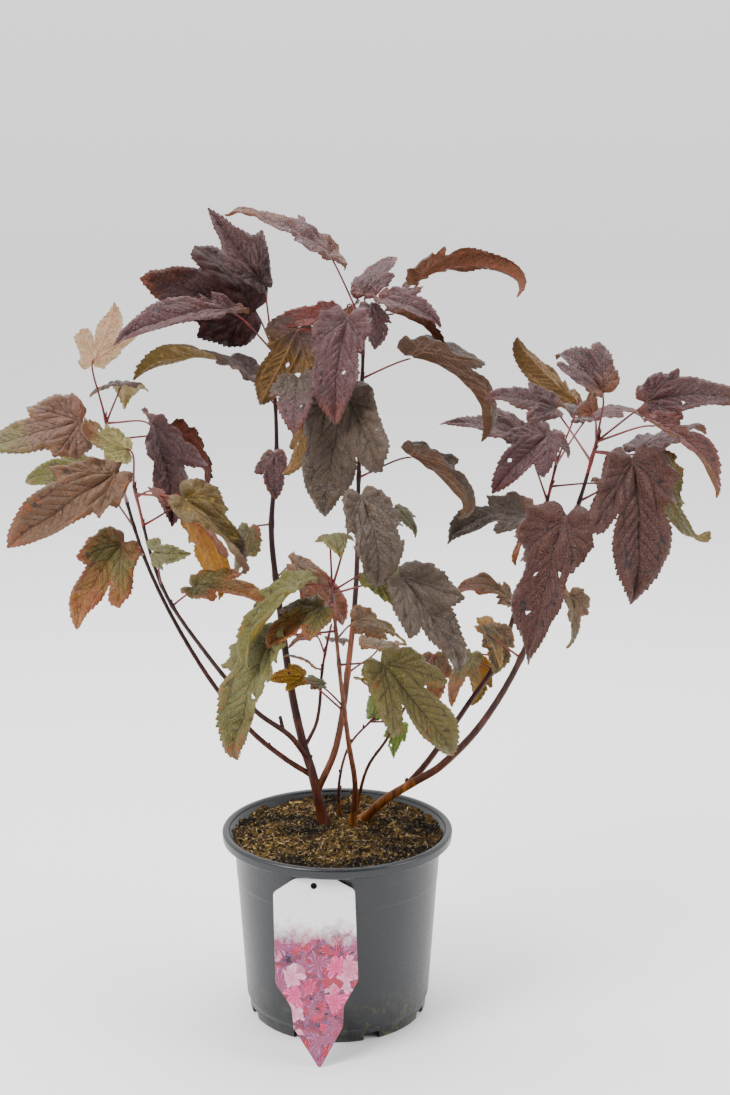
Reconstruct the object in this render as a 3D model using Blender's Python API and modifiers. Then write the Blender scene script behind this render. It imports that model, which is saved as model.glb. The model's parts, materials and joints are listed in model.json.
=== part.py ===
"""A young ninebark shrub with lobed autumn leaves, growing in its round plastic nursery pot.

Metres, +Z up. The origin is the middle of the pot's underside, and the plant's front faces -Y.
The plant's own tables are in millimetres and degrees. A bearing of 0 points right, 90 back,
180 left and 270 to the front, and a rise of 90 points straight up.
"""

import math
import random

import bmesh
import bpy
from mathutils import Matrix, Vector
from mathutils.geometry import interpolate_bezier

MM = 0.001
GAP = 0.3 * MM                  # clearance between pieces that touch

# Pot
POT_HEIGHT = 150 * MM
RIM_RADIUS = 91.7 * MM
RIM_INSIDE = 84.7 * MM
RIM_DEPTH = 8.5 * MM
WALL_TOP_RADIUS = 82 * MM
WALL_FOOT_RADIUS = 73.5 * MM
WALL = 1.3 * MM
NECK_HEIGHT = 142.5 * MM        # the wall opens out into the rim from here up
STEP_HEIGHT = 112 * MM          # faint step round the wall
STEP = 0.4 * MM
LEDGE_HEIGHT = 12 * MM          # the wall turns in above the foot ring here
FOOT_RADIUS = 71 * MM
FOOT_RING = 5 * MM
FOOT_HEIGHT = 7 * MM
FLOOR = 1.6 * MM
BOSS_RADIUS = 28 * MM           # flat middle foot, level with the ring
ROUND_STEPS = 48
RIM_STEPS = 5
NOTCHES = 8                     # in the foot ring, with a drain slot inside each
NOTCH_WIDTH = 13 * MM
NOTCH_HEIGHT = 6 * MM
SLOT = (5 * MM, 15 * MM)        # drain slots, across and along
SLOT_MIDDLE = 48 * MM

# Compost
SOIL_TOP = 145 * MM
SOIL_FLAT_RADIUS = 55 * MM
SOIL_EDGE = 144 * MM

# Label
LABEL_LENGTH = 142 * MM
LABEL_THICKNESS = 0.6 * MM
LABEL_HOLE = 2.5 * MM
LABEL_HOLE_DOWN = 6 * MM
LABEL_TOP = Vector((-16.5 * MM, -83.2 * MM, 140.5 * MM))
LABEL_TIP = Vector((-12 * MM, -108 * MM, 0.4 * MM))
# Half widths of the label at shares of its length, from its pointed end up.
LABEL_HALF_WIDTHS = ((0.21, 18.5), (0.32, 19.5), (0.45, 31), (0.93, 30.5), (1.0, 12))

# Limbs: the limb that each springs from and how far up it, or the foot's place on the compost,
# then its runs as (length, bearing, rise), and its thickness at foot and tip.
LIMBS = {
    "stem_back_left": dict(
        foot=(-12, 23), thick=(8.6, 2.3),
        runs=((43, 195, 78), (24, 157, 71), (45, 129, 70), (81, 123, 75), (50, 121, 79),
              (65, 67, 80), (91, 110, 83))),
    "stem_right_front": dict(
        foot=(21, 28), thick=(8.0, 2.4),
        runs=((30, 328, 45), (28, 347, 35), (28, 337, 36), (53, 333, 49), (69, 331, 61),
              (118, 338, 71), (59, 340, 75))),
    "stem_front": dict(
        foot=(12, 14), thick=(5.4, 2.3),
        runs=((38, 284, 77), (43, 256, 64), (67, 259, 63), (87, 259, 69))),
    "stem_centre": dict(
        parent="stem_back_left", up=26, thick=(6.2, 2.4),
        runs=((44, 350, 68), (78, 0, 82), (61, 10, 85), (75, 52, 88), (126, 46, 87))),
    "stem_far_left": dict(
        parent="stem_back_left", up=40, thick=(4.8, 2.2),
        runs=((29, 178, 33), (35, 174, 40), (66, 169, 52), (84, 165, 61), (72, 164, 72),
              (55, 162, 76))),
    "stem_left": dict(
        parent="stem_back_left", up=55, thick=(4.8, 2.2),
        runs=((28, 216, 53), (38, 204, 40), (69, 206, 52), (63, 207, 59), (77, 221, 74))),
    "stem_thin_back": dict(
        parent="stem_back_left", up=64, thick=(3.4, 2.0),
        runs=((25, 30, 61), (41, 68, 75), (30, 55, 71))),
    "stem_right_back": dict(
        parent="stem_right_front", up=50, thick=(5.6, 2.3),
        runs=((29, 26, 43), (53, 20, 52), (48, 19, 54), (54, 29, 70), (77, 25, 72),
              (33, 27, 75))),
    "twig_back": dict(
        foot=(1, 38), thick=(3.0, 1.8),
        runs=((32, 272, 81), (30, 60, 57), (30, 40, 35))),
    "twig_back_right": dict(
        foot=(14, 40), thick=(3.2, 1.8),
        runs=((45, 315, 72), (29, 31, 49), (76, 31, 55))),
}
FLARE = 0.35                    # a foot on the compost widens by this share
FLARE_HEIGHT = 9 * MM
LIMB_STEP = 18 * MM

# Foliage: each mass grows on one stretch of a limb, given as shares of its length.
# Each leaf: share along the limb; its stalk's bearing, rise and length; its blade's bearing,
# pitch and length; the blade's roll about its midrib; its arch; its tint.
MASSES = {
    "leaves_far_left": dict(limb="stem_far_left", stretch=(0.62, 1.0), leaves=(
        (0.67, 260, 20, 54, 205, -50, 75, -40, 25, "rust"),
        (0.74, 145, 30, 59, 160, -5, 62, -40, 20, "olive"),
        (0.80, 270, 30, 61, 205, -35, 100, -50, 30, "russet"),
        (0.92, 205, 45, 37, 195, -20, 80, -55, 25, "pink"),
        (0.95, 10, 10, 46, 30, -35, 62, 0, 35, "plum"),
        (0.99, 320, 5, 51, 300, -70, 87, 0, 30, "plum"),
        (0.99, 335, 65, 33, 90, -15, 65, 0, 40, "plum"),
        (1.00, 180, 80, 46, 65, 50, 56, 180, 20, "beige"),
    )),
    "leaves_left": dict(limb="stem_left", stretch=(0.60, 1.0), leaves=(
        (0.65, 0, 40, 22, 335, -15, 47, 30, 40, "amber"),
        (0.72, 265, 55, 36, 320, 5, 39, 90, 40, "beige"),
        (0.90, 25, 20, 34, 45, -65, 73, 0, 25, "amber"),
        (0.98, 325, 25, 17, 325, -35, 19, 0, 20, "pink"),
        (0.99, 330, 0, 44, 20, -55, 83, 60, 50, "olive"),
        (1.00, 220, 80, 31, 220, 40, 38, 160, 30, "beige"),
    )),
    "leaves_back_left_low": dict(limb="stem_back_left", stretch=(0.44, 0.70), leaves=(
        (0.48, 260, -20, 12, 225, -10, 24, 0, 30, "grey"),
        (0.51, 55, 15, 25, 15, -45, 69, 35, 30, "rust"),
        (0.62, 160, -15, 21, 235, -75, 45, 20, 20, "olive"),
    )),
    "leaves_back_left": dict(limb="stem_back_left", stretch=(0.70, 1.0), leaves=(
        (0.77, 270, 0, 27, 265, -65, 39, 0, 30, "plum"),
        (0.86, 215, 50, 32, 190, 0, 98, 20, 55, "olive"),
        (0.97, 225, 40, 49, 190, -15, 98, -10, 45, "plum"),
        (0.98, 125, 45, 33, 180, 10, 85, -65, 20, "maroon"),
        (0.99, 155, 80, 47, 160, 50, 76, -60, 20, "maroon"),
    )),
    "leaves_thin_back": dict(limb="stem_thin_back", stretch=(0.60, 1.0), leaves=(
        (0.68, 220, 30, 11, 205, 25, 28, 0, 35, "amber"),
        (0.82, 225, 60, 22, 220, -15, 27, 0, 30, "rust"),
        (0.95, 75, -20, 14, 65, -20, 30, 0, 30, "grey"),
    )),
    "leaves_centre_low": dict(limb="stem_centre", stretch=(0.24, 0.64), leaves=(
        (0.27, 50, 20, 39, 70, -10, 54, 0, 40, "rust"),
    )),
    "leaves_centre": dict(limb="stem_centre", stretch=(0.64, 0.86), leaves=(
        (0.68, 340, 25, 46, 340, -45, 59, 60, 50, "olive"),
        (0.73, 110, 35, 29, 45, -55, 39, 0, 30, "olive"),
        (0.76, 195, 15, 47, 190, -75, 46, 150, 25, "olive"),
        (0.83, 220, 20, 65, 265, -40, 56, 0, 30, "grey"),
        (0.84, 255, 10, 46, 240, -77, 94, 0, 25, "grey"),
    )),
    "leaves_top": dict(limb="stem_centre", stretch=(0.86, 1.0), leaves=(
        (0.88, 0, 25, 40, 355, -50, 90, -35, 85, "bronze"),
        (0.93, 200, 20, 56, 215, -65, 66, 110, 35, "olive"),
        (0.97, 255, 15, 48, 250, -70, 85, 0, 30, "plum"),
        (0.98, 10, 40, 54, 355, -5, 92, -35, 95, "bronze"),
        (0.98, 205, 65, 58, 195, 25, 90, 20, 35, "bronze"),
        (0.98, 110, 25, 37, 150, -15, 59, 160, 35, "bronze"),
        (0.99, 90, 40, 33, 60, 35, 48, 0, 30, "plum"),
        (0.99, 300, 35, 15, 330, -20, 51, 0, 30, "plum"),
        (0.99, 270, 30, 22, 305, -55, 33, 0, 35, "plum"),
    )),
    "leaves_front": dict(limb="stem_front", stretch=(0.46, 1.0), leaves=(
        (0.50, 225, 35, 58, 240, 10, 29, 0, 30, "yellow"),
        (0.70, 320, 10, 43, 340, -50, 92, 35, 20, "green"),
        (0.83, 210, 0, 44, 220, -60, 97, -20, 25, "green"),
        (0.94, 215, -5, 12, 190, -30, 43, 0, 30, "rust"),
        (0.97, 350, 15, 52, 335, -50, 82, 30, 20, "grey"),
        (0.98, 10, 25, 29, 10, -30, 29, 0, 25, "green"),
        (0.99, 355, 75, 68, 305, -55, 62, 0, 25, "grey"),
        (0.99, 105, 85, 39, 280, -15, 35, 0, 60, "olive"),
        (0.99, 215, 15, 18, 195, -45, 80, -25, 35, "green"),
    )),
    "leaves_right_back_low": dict(limb="stem_right_back", stretch=(0.36, 0.66), leaves=(
        (0.40, 135, 15, 21, 45, -80, 39, 0, 20, "amber"),
        (0.48, 115, 5, 21, 110, 20, 30, 0, 30, "amber"),
        (0.59, 100, -5, 25, 170, -15, 46, 0, 80, "rust"),
    )),
    "leaves_right_back": dict(limb="stem_right_back", stretch=(0.66, 1.0), leaves=(
        (0.76, 80, 55, 25, 155, -65, 44, 0, 20, "rust"),
        (0.79, 245, 40, 38, 200, -15, 62, -35, 35, "grey"),
        (0.89, 140, 65, 49, 170, 10, 75, -15, 45, "plum"),
        (0.93, 320, 10, 48, 15, -45, 50, 0, 30, "plum"),
        (0.99, 250, 45, 39, 205, -40, 67, -40, 25, "plum"),
        (0.99, 255, 55, 35, 325, -55, 24, 0, 25, "plum"),
        (0.99, 15, 65, 42, 145, 55, 81, 150, 30, "olive"),
        (0.99, 50, 40, 51, 30, 0, 63, 0, 50, "plum"),
    )),
    "leaves_right_low": dict(limb="stem_right_front", stretch=(0.50, 0.80), leaves=(
        (0.53, 130, 20, 44, 330, -60, 34, 0, 30, "yellow"),
        (0.75, 65, -50, 43, 320, -80, 44, 0, 20, "rust"),
    )),
    "leaves_right": dict(limb="stem_right_front", stretch=(0.80, 1.0), leaves=(
        (0.85, 245, -5, 26, 220, -75, 108, 0, 20, "maroon"),
        (0.87, 20, 20, 57, 0, -60, 72, 150, 40, "olive"),
        (0.95, 130, 45, 52, 190, 10, 58, -35, 35, "grey"),
        (0.97, 310, -5, 37, 285, -70, 104, 0, 20, "plum"),
        (0.97, 15, -15, 34, 45, 0, 65, 0, 30, "grey"),
        (0.99, 355, 40, 46, 350, 5, 70, 40, 55, "plum"),
        (0.99, 330, 20, 45, 345, -45, 76, 25, 40, "maroon"),
        (0.99, 50, 80, 35, 100, 25, 55, 0, 30, "plum"),
    )),
    "leaves_twig_back": dict(limb="twig_back", stretch=(0.80, 1.0), leaves=(
        (0.97, 10, -15, 34, 215, -55, 20, 0, 20, "lime"),
        (0.98, 80, 5, 12, 60, 35, 28, 0, 20, "lime"),
    )),
    "leaves_twig_right": dict(limb="twig_back_right", stretch=(0.62, 1.0), leaves=(
        (0.70, 145, 20, 47, 65, -30, 30, 0, 20, "green"),
        (0.98, 75, 5, 12, 275, -80, 38, 0, 20, "rust"),
    )),
}

# Half of a leaf's outline, as (angle from the midrib, reach as a share of its length). The veins
# fan out from the blade's foot to a long middle lobe, two side lobes and two small foot lobes.
LEAF_OUTLINE = ((0, 1.0), (11, 0.76), (21, 0.53), (35, 0.56), (50, 0.43), (68, 0.32), (90, 0.30),
                (125, 0.16), (180, 0.03))
SIDE_LOBE = (30, 60)            # angles between which an outline point belongs to a side lobe
LEAF_RING = 0.55                # the blade's inner ring, as a share of its outline
LEAF_RING_THICKNESS = 0.8       # its thickness there, as a share of the foot's
BLADE_THICKNESS = 0.8 * MM      # at the blade's foot, and more by this share of its length
BLADE_THICKENING = 0.008
STALK_THICK = (1.7, 1.3, 0.7)   # at the stem, under the blade, and inside the blade
STALK_RUNS = 3                  # straight pieces in a stalk
STALK_BOW = 0.5                 # how far a stalk holds its first direction, as a share of its length
STALK_HOOK = 9 * MM             # and how far its last one, from below the blade
STALK_HOOK_SHARE = 0.3          # or this share of a short stalk
STALK_UNDER = 30                # angle at which a stalk meets its blade from below
STALK_SUNK = 2.5 * MM           # how far it runs on inside the blade
SEED = 9

TINTS = {                       # base colours, linear
    "plum": (0.13, 0.075, 0.085), "maroon": (0.06, 0.022, 0.028), "grey": (0.15, 0.12, 0.115),
    "pink": (0.24, 0.13, 0.11), "beige": (0.50, 0.40, 0.28), "bronze": (0.20, 0.09, 0.045),
    "olive": (0.19, 0.16, 0.055), "green": (0.16, 0.17, 0.06), "lime": (0.15, 0.25, 0.05),
    "yellow": (0.45, 0.35, 0.07), "amber": (0.50, 0.24, 0.07), "rust": (0.36, 0.13, 0.06),
    "russet": (0.25, 0.10, 0.06),
}


def clear_scene():
    for thing in list(bpy.data.objects):
        bpy.data.objects.remove(thing, do_unlink=True)


def new_collection(name):
    made = bpy.data.collections.new(name)
    bpy.context.scene.collection.children.link(made)
    return made


def new_material(name, colour, roughness):
    made = bpy.data.materials.new(name)
    made.use_nodes = True
    shader = made.node_tree.nodes["Principled BSDF"]
    shader.inputs["Base Color"].default_value = (*colour, 1)
    shader.inputs["Roughness"].default_value = roughness
    return made


def direction(bearing, rise):
    flat = math.cos(math.radians(rise))
    turn = math.radians(bearing)
    return Vector((flat * math.cos(turn), flat * math.sin(turn), math.sin(math.radians(rise))))


def new_object(name, data, collection):
    made = bpy.data.objects.new(name, data)
    collection.objects.link(made)
    return made


def to_mesh(curve_object):
    """Turns a curve object into a mesh object of the same name, with its caps welded on."""
    graph = bpy.context.evaluated_depsgraph_get()
    mesh = bpy.data.meshes.new_from_object(curve_object.evaluated_get(graph))
    form = bmesh.new()
    form.from_mesh(mesh)
    bmesh.ops.remove_doubles(form, verts=form.verts, dist=0.02 * MM)
    bmesh.ops.recalc_face_normals(form, faces=form.faces)
    form.to_mesh(mesh)
    form.free()
    name = curve_object.name
    holder = curve_object.users_collection[0]
    place = curve_object.matrix_world.copy()
    bpy.data.objects.remove(curve_object)
    made = new_object(name, mesh, holder)
    made.matrix_world = place
    return made


def new_tube(name, points, radii, collection, sides=6):
    """A round limb through the points, as a mesh; the radii follow them."""
    curve = bpy.data.curves.new(name, "CURVE")
    curve.dimensions = "3D"
    curve.bevel_depth = 1
    curve.bevel_resolution = (sides - 4) // 2
    curve.use_fill_caps = True
    spline = curve.splines.new("POLY")
    spline.points.add(len(points) - 1)
    for knot, place, radius in zip(spline.points, points, radii):
        knot.co = (*place, 1)
        knot.radius = radius
    return to_mesh(new_object(name, curve, collection))


def cut(thing, cutter):
    cutter.hide_render = True
    cutter.display_type = "WIRE"
    modifier = thing.modifiers.new("cut by " + cutter.name, "BOOLEAN")
    modifier.operation = "DIFFERENCE"
    modifier.solver = "EXACT"
    modifier.object = cutter


class Limb:
    """The smooth path of one limb, measured from its foot."""

    def __init__(self, row, limbs):
        if "foot" in row:
            start = Vector((row["foot"][0] * MM, row["foot"][1] * MM, SOIL_TOP))
        else:
            start = limbs[row["parent"]].at(row["up"] * MM)
        self.on_soil = "foot" in row
        joints = [start]
        for length, bearing, rise in row["runs"]:
            joints.append(joints[-1] + direction(bearing, rise) * length * MM)
        self.points = smooth(joints)
        self.marks = [0.0]
        for a, b in zip(self.points, self.points[1:]):
            self.marks.append(self.marks[-1] + (b - a).length)
        self.length = self.marks[-1]
        self.thick = [t * MM / 2 for t in row["thick"]]

    def at(self, distance):
        distance = min(max(distance, 0), self.length)
        k = 1
        while self.marks[k] < distance and k < len(self.marks) - 1:
            k += 1
        share = (distance - self.marks[k - 1]) / (self.marks[k] - self.marks[k - 1])
        return self.points[k - 1].lerp(self.points[k], share)

    def radius(self, distance):
        foot, tip = self.thick
        size = foot + (tip - foot) * (distance / self.length) ** 0.8
        if self.on_soil:
            size *= 1 + FLARE * max(0, 1 - distance / FLARE_HEIGHT)
        return size

    def tube(self, name, first, last, collection, swell=0.0):
        """The stretch from the first share of the limb to the last, as a tapering tube."""
        low, high = first * self.length, last * self.length
        count = max(2, round((high - low) / LIMB_STEP)) + 1
        places = [low + (high - low) * k / (count - 1) for k in range(count)]
        if self.on_soil and first == 0:
            places.insert(1, FLARE_HEIGHT)
        points = [self.at(d) for d in places]
        radii = [self.radius(d) + swell for d in places]
        if self.on_soil and first == 0:
            points.insert(0, points[0] - (points[1] - points[0]).normalized() * FLARE_HEIGHT)
            radii.insert(0, radii[0])
        return new_tube(name, points, radii, collection)


def smooth(joints, pieces=6):
    """Points along a smooth curve through the joints."""
    tangents = []
    for k, joint in enumerate(joints):
        before = joints[max(k - 1, 0)]
        after = joints[min(k + 1, len(joints) - 1)]
        tangents.append((after - before).normalized())
    made = [joints[0]]
    for k in range(len(joints) - 1):
        a, b = joints[k], joints[k + 1]
        pull = (b - a).length / 3
        made += interpolate_bezier(a, a + tangents[k] * pull, b - tangents[k + 1] * pull, b,
                                   pieces + 1)[1:]
    return made


def leaf_habit(number):
    """How one leaf differs from the next."""
    draw = random.Random(SEED + number)
    return dict(
        fold=draw.uniform(12, 30),          # each half is raised by this angle
        curl=draw.uniform(0.15, 0.5),       # and its edge turns down again
        wave=draw.uniform(0.02, 0.05),
        phase=draw.uniform(0, 2 * math.pi),
        left=draw.uniform(0.88, 1.1),       # the side lobes' reach
        right=draw.uniform(0.88, 1.1),
        skew=draw.uniform(-0.12, 0.12),     # the midrib's sideways sweep
    )


def leaf_reach(angle, reach, habit):
    low, high = SIDE_LOBE
    if low <= abs(angle) <= high:
        reach *= habit["left"] if angle > 0 else habit["right"]
    return reach


def leaf_point(length, arch, habit, angle, reach, lift):
    """A point of the blade in its own frame: X along the chord, Y across, Z to its upper side."""
    turn = math.radians(angle)
    along = reach * math.cos(turn)
    across = reach * math.sin(turn)
    fold = math.radians(habit["fold"])
    half = abs(across)
    side = across * math.cos(fold) + habit["skew"] * max(along, 0) ** 2
    rise = half * math.sin(fold) - habit["curl"] * half ** 2
    rise += habit["wave"] * math.sin(3 * turn + habit["phase"]) * reach
    bend = math.radians(arch)
    slope = bend / 2 - bend * max(along, 0)
    if along > 0:
        x = (math.sin(bend / 2) - math.sin(slope)) / bend
        z = (math.cos(slope) - math.cos(bend / 2)) / bend
    else:
        x, z = along * math.cos(slope), along * math.sin(slope)
    height = rise + lift
    return Vector((x - math.sin(slope) * height, side, z + math.cos(slope) * height)) * length


def leaf_frame(base, bearing, pitch, roll):
    """The matrix that carries a blade's own frame to its place."""
    along = direction(bearing, pitch)
    upper = direction(bearing, pitch + 90)
    across = upper.cross(along)
    frame = Matrix((along, across, upper)).transposed().to_4x4()
    return Matrix.Translation(base) @ frame @ Matrix.Rotation(math.radians(roll), 4, "X")


def new_blade(name, size, arch, habit, frame, collection):
    """A lens-shaped blade: two fans of faces that share the leaf's outline."""
    half = LEAF_OUTLINE[1:-1]
    around = [LEAF_OUTLINE[0], *half, LEAF_OUTLINE[-1], *[(-a, r) for a, r in reversed(half)]]
    edge = [(a, leaf_reach(a, r, habit)) for a, r in around]
    thickness = (BLADE_THICKNESS + BLADE_THICKENING * size) / size
    form = bmesh.new()

    def corner(angle, reach, lift):
        return form.verts.new(frame @ leaf_point(size, arch, habit, angle, reach, lift))

    rim = [corner(a, r, 0) for a, r in edge]
    for side in (0.5, -0.5):
        middle = corner(0, 0, side * thickness)
        ring = [corner(a, r * LEAF_RING, side * thickness * LEAF_RING_THICKNESS) for a, r in edge]
        for k in range(len(rim)):
            n = (k + 1) % len(rim)
            for face in ((middle, ring[k], ring[n]), (ring[k], rim[k], rim[n]),
                         (ring[k], rim[n], ring[n])):
                form.faces.new(face)
    bmesh.ops.recalc_face_normals(form, faces=form.faces)
    mesh = bpy.data.meshes.new(name)
    form.to_mesh(mesh)
    form.free()
    return new_object(name, mesh, collection)


def add_leaf(row, number, start, collection):
    """One leaf: a stalk that rises from inside the stem and ends inside the blade's foot."""
    _, bearing, rise, stalk, blade_bearing, pitch, length, roll, arch, _ = row
    size = length * MM
    out = direction(bearing, rise)
    base = start + out * stalk * MM
    frame = leaf_frame(base, blade_bearing, pitch, roll)
    habit = leaf_habit(number)
    new_blade(f"blade {number}", size, arch, habit, frame, collection)
    tilt = Matrix.Rotation(-math.radians(arch / 2 + STALK_UNDER), 4, "Y")
    hook = min(STALK_HOOK, stalk * MM * STALK_HOOK_SHARE)
    last = (frame @ tilt).col[0].to_3d()
    inner = frame @ leaf_point(size, arch, habit, 0, STALK_SUNK / size, 0)
    path = interpolate_bezier(start, start + out * stalk * MM * STALK_BOW, base - last * hook, inner,
                              STALK_RUNS + 1)
    thick, thin, end = [t * MM / 2 for t in STALK_THICK]
    radii = [thick + (thin - thick) * k / STALK_RUNS for k in range(STALK_RUNS)]
    new_tube(f"stalk {number}", path, [*radii, end], collection, sides=4)


def add_mass(name, row, number, limbs, parts):
    """A mass of foliage: a stretch of stem with its leaves joined to it in one union."""
    limb = limbs[row["limb"]]
    first, last = row["stretch"]
    pieces = new_collection("pieces of " + name)
    for k, leaf in enumerate(row["leaves"]):
        add_leaf(leaf, number + k, limb.at(leaf[0] * limb.length), pieces)
    stem = limb.tube(name, first + GAP / limb.length, last, parts)
    modifier = stem.modifiers.new("leaves", "BOOLEAN")
    modifier.operation = "UNION"
    modifier.operand_type = "COLLECTION"
    modifier.collection = pieces
    modifier.solver = "MANIFOLD"
    graph = bpy.context.evaluated_depsgraph_get()
    joined = bpy.data.meshes.new_from_object(stem.evaluated_get(graph))
    stem.modifiers.clear()
    stem.data = joined
    for piece in list(pieces.objects):
        bpy.data.objects.remove(piece)
    bpy.data.collections.remove(pieces)
    tint = row["leaves"][0][-1]
    stem.data.materials.clear()
    stem.data.materials.append(new_material(name, TINTS[tint], 0.5))
    return stem


def add_limbs(parts, cutters):
    """The bare limbs, each cut clear of the limb that it springs from."""
    limbs = {}
    ends = {name: 1.0 for name in LIMBS}
    for row in MASSES.values():
        ends[row["limb"]] = min(ends[row["limb"]], row["stretch"][0])
    ground = new_box("ground", (0, 0, SOIL_TOP + GAP - 15 * MM), (150 * MM, 150 * MM, 30 * MM),
                     cutters)
    bark = new_material("bark", (0.12, 0.045, 0.03), 0.55)
    for name, row in LIMBS.items():
        limbs[name] = Limb(row, limbs)
        made = limbs[name].tube(name, 0, ends[name], parts)
        made.data.materials.append(bark)
        if limbs[name].on_soil:
            cut(made, ground)
        else:
            parent = row["parent"]
            cutter = limbs[parent].tube(f"clearance of {parent} for {name}", 0, ends[parent],
                                        cutters, GAP)
            cut(made, cutter)
    return limbs


def new_box(name, middle, size, collection, turn=0.0):
    form = bmesh.new()
    bmesh.ops.create_cube(form, size=1)
    bmesh.ops.transform(form, verts=form.verts, matrix=Matrix.Rotation(turn, 4, "Z")
                        @ Matrix.Translation(middle) @ Matrix.Diagonal((*size, 1)))
    mesh = bpy.data.meshes.new(name)
    form.to_mesh(mesh)
    form.free()
    return new_object(name, mesh, collection)


def turned(name, profile, collection):
    """A profile of (radius, height) points, from the top of its outer side down, spun round Z."""
    mesh = bpy.data.meshes.new(name)
    edges = [(k, k + 1) for k in range(len(profile) - 1)]
    mesh.from_pydata([(r, 0, z) for r, z in profile], edges, [])
    made = new_object(name, mesh, collection)
    spin = made.modifiers.new("spin", "SCREW")
    spin.steps = spin.render_steps = ROUND_STEPS
    spin.use_merge_vertices = True
    spin.merge_threshold = 0.01 * MM
    spin.use_normal_calculate = True
    return made


def wall_radius(z):
    """The wall's outer radius at a height between the ledge and the rim."""
    share = (z - LEDGE_HEIGHT) / (POT_HEIGHT - RIM_DEPTH - LEDGE_HEIGHT)
    return WALL_FOOT_RADIUS + (WALL_TOP_RADIUS - WALL_FOOT_RADIUS) * share


def add_pot(parts, cutters):
    floor = FOOT_HEIGHT + FLOOR
    under_rim = POT_HEIGHT - RIM_DEPTH
    rim_middle = (RIM_RADIUS + RIM_INSIDE) / 2
    lip = RIM_RADIUS - rim_middle
    profile = [(0, floor), (FOOT_RADIUS - WALL, floor), (WALL_FOOT_RADIUS - WALL, LEDGE_HEIGHT + WALL),
               (WALL_TOP_RADIUS - WALL, NECK_HEIGHT), (RIM_INSIDE - 0.2 * MM, NECK_HEIGHT + 4 * MM)]
    for k in range(RIM_STEPS + 1):          # the rim is a rounded bead
        turn = math.pi * (1 - k / RIM_STEPS)
        profile.append((rim_middle + lip * math.cos(turn),
                        POT_HEIGHT - lip * 0.8 + lip * 0.8 * math.sin(turn)))
    profile += [
        (RIM_RADIUS - 0.5 * MM, under_rim + 1 * MM),
        (RIM_RADIUS - 1.5 * MM, under_rim),
        (WALL_TOP_RADIUS, under_rim),
        (wall_radius(STEP_HEIGHT) + STEP, STEP_HEIGHT),
        (wall_radius(STEP_HEIGHT), STEP_HEIGHT - 1 * MM),
        (WALL_FOOT_RADIUS, LEDGE_HEIGHT + 2 * MM),
        (WALL_FOOT_RADIUS - 1 * MM, LEDGE_HEIGHT - 1 * MM),
        (FOOT_RADIUS + 0.5 * MM, LEDGE_HEIGHT - 3 * MM),
        (FOOT_RADIUS, 1.5 * MM),
        (FOOT_RADIUS - 1 * MM, 0),
        (FOOT_RADIUS - FOOT_RING, 0),
        (FOOT_RADIUS - FOOT_RING, FOOT_HEIGHT),
        (BOSS_RADIUS + 2 * MM, FOOT_HEIGHT),
        (BOSS_RADIUS, 0),
        (0, 0),
    ]
    pot = turned("pot", profile, parts)
    pot.data.materials.append(new_material("pot_plastic", (0.055, 0.062, 0.067), 0.38))
    for k in range(NOTCHES):
        turn = 2 * math.pi * (k + 0.5) / NOTCHES
        cut(pot, new_box(f"notch {k}", (FOOT_RADIUS, 0, 0), (16 * MM, NOTCH_WIDTH, 2 * NOTCH_HEIGHT),
                         cutters, turn))
        cut(pot, new_box(f"slot {k}", (SLOT_MIDDLE, 0, FOOT_HEIGHT), (SLOT[1], SLOT[0], 6 * MM),
                         cutters, turn))
    return pot


def add_compost(parts):
    floor = FOOT_HEIGHT + FLOOR
    top = WALL_TOP_RADIUS - WALL - GAP
    profile = [
        (0, SOIL_TOP), (SOIL_FLAT_RADIUS, SOIL_TOP), (top + SOIL_EDGE - NECK_HEIGHT - GAP, SOIL_EDGE),
        (top, NECK_HEIGHT - GAP),
        (WALL_FOOT_RADIUS - WALL - GAP, LEDGE_HEIGHT + WALL + GAP),
        (FOOT_RADIUS - WALL - 2 * GAP, floor + GAP), (0, floor + GAP),
    ]
    compost = turned("compost", profile, parts)
    compost.data.materials.append(new_material("peat", (0.05, 0.032, 0.018), 0.95))
    return compost


def add_label(parts, cutters):
    """The blank plant label: a flat strip that leans between the rim and what the pot stands on."""
    curve = bpy.data.curves.new("label_tag", "CURVE")
    curve.dimensions = "2D"
    curve.fill_mode = "BOTH"
    curve.extrude = LABEL_THICKNESS / 2
    left = [(-w * MM, v * LABEL_LENGTH) for v, w in LABEL_HALF_WIDTHS]
    right = [(w * MM, v * LABEL_LENGTH) for v, w in reversed(LABEL_HALF_WIDTHS)]
    outline = [(-1 * MM, 0), *left, *right, (1 * MM, 0)]
    spline = curve.splines.new("POLY")
    spline.use_cyclic_u = True
    spline.points.add(len(outline) - 1)
    for knot, (x, y) in zip(spline.points, outline):
        knot.co = (x, y, 0, 1)
    label = new_object("label_tag", curve, parts)
    rise = (LABEL_TOP - LABEL_TIP).normalized()
    across = Vector((1, 0, 0))
    across = (across - rise * across.dot(rise)).normalized()
    frame = Matrix((across, rise, across.cross(rise))).transposed().to_4x4()
    label.matrix_world = Matrix.Translation(LABEL_TIP) @ frame
    label = to_mesh(label)
    label.data.materials.append(new_material("label_card", (0.75, 0.74, 0.74), 0.4))
    form = bmesh.new()
    bmesh.ops.create_cone(form, cap_ends=True, segments=16, radius1=LABEL_HOLE, radius2=LABEL_HOLE,
                          depth=10 * MM)
    mesh = bpy.data.meshes.new("label hole")
    form.to_mesh(mesh)
    form.free()
    hole = new_object("label hole", mesh, cutters)
    hole.matrix_world = label.matrix_world @ Matrix.Translation((0, LABEL_LENGTH - LABEL_HOLE_DOWN, 0))
    cut(label, hole)
    return label


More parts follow.
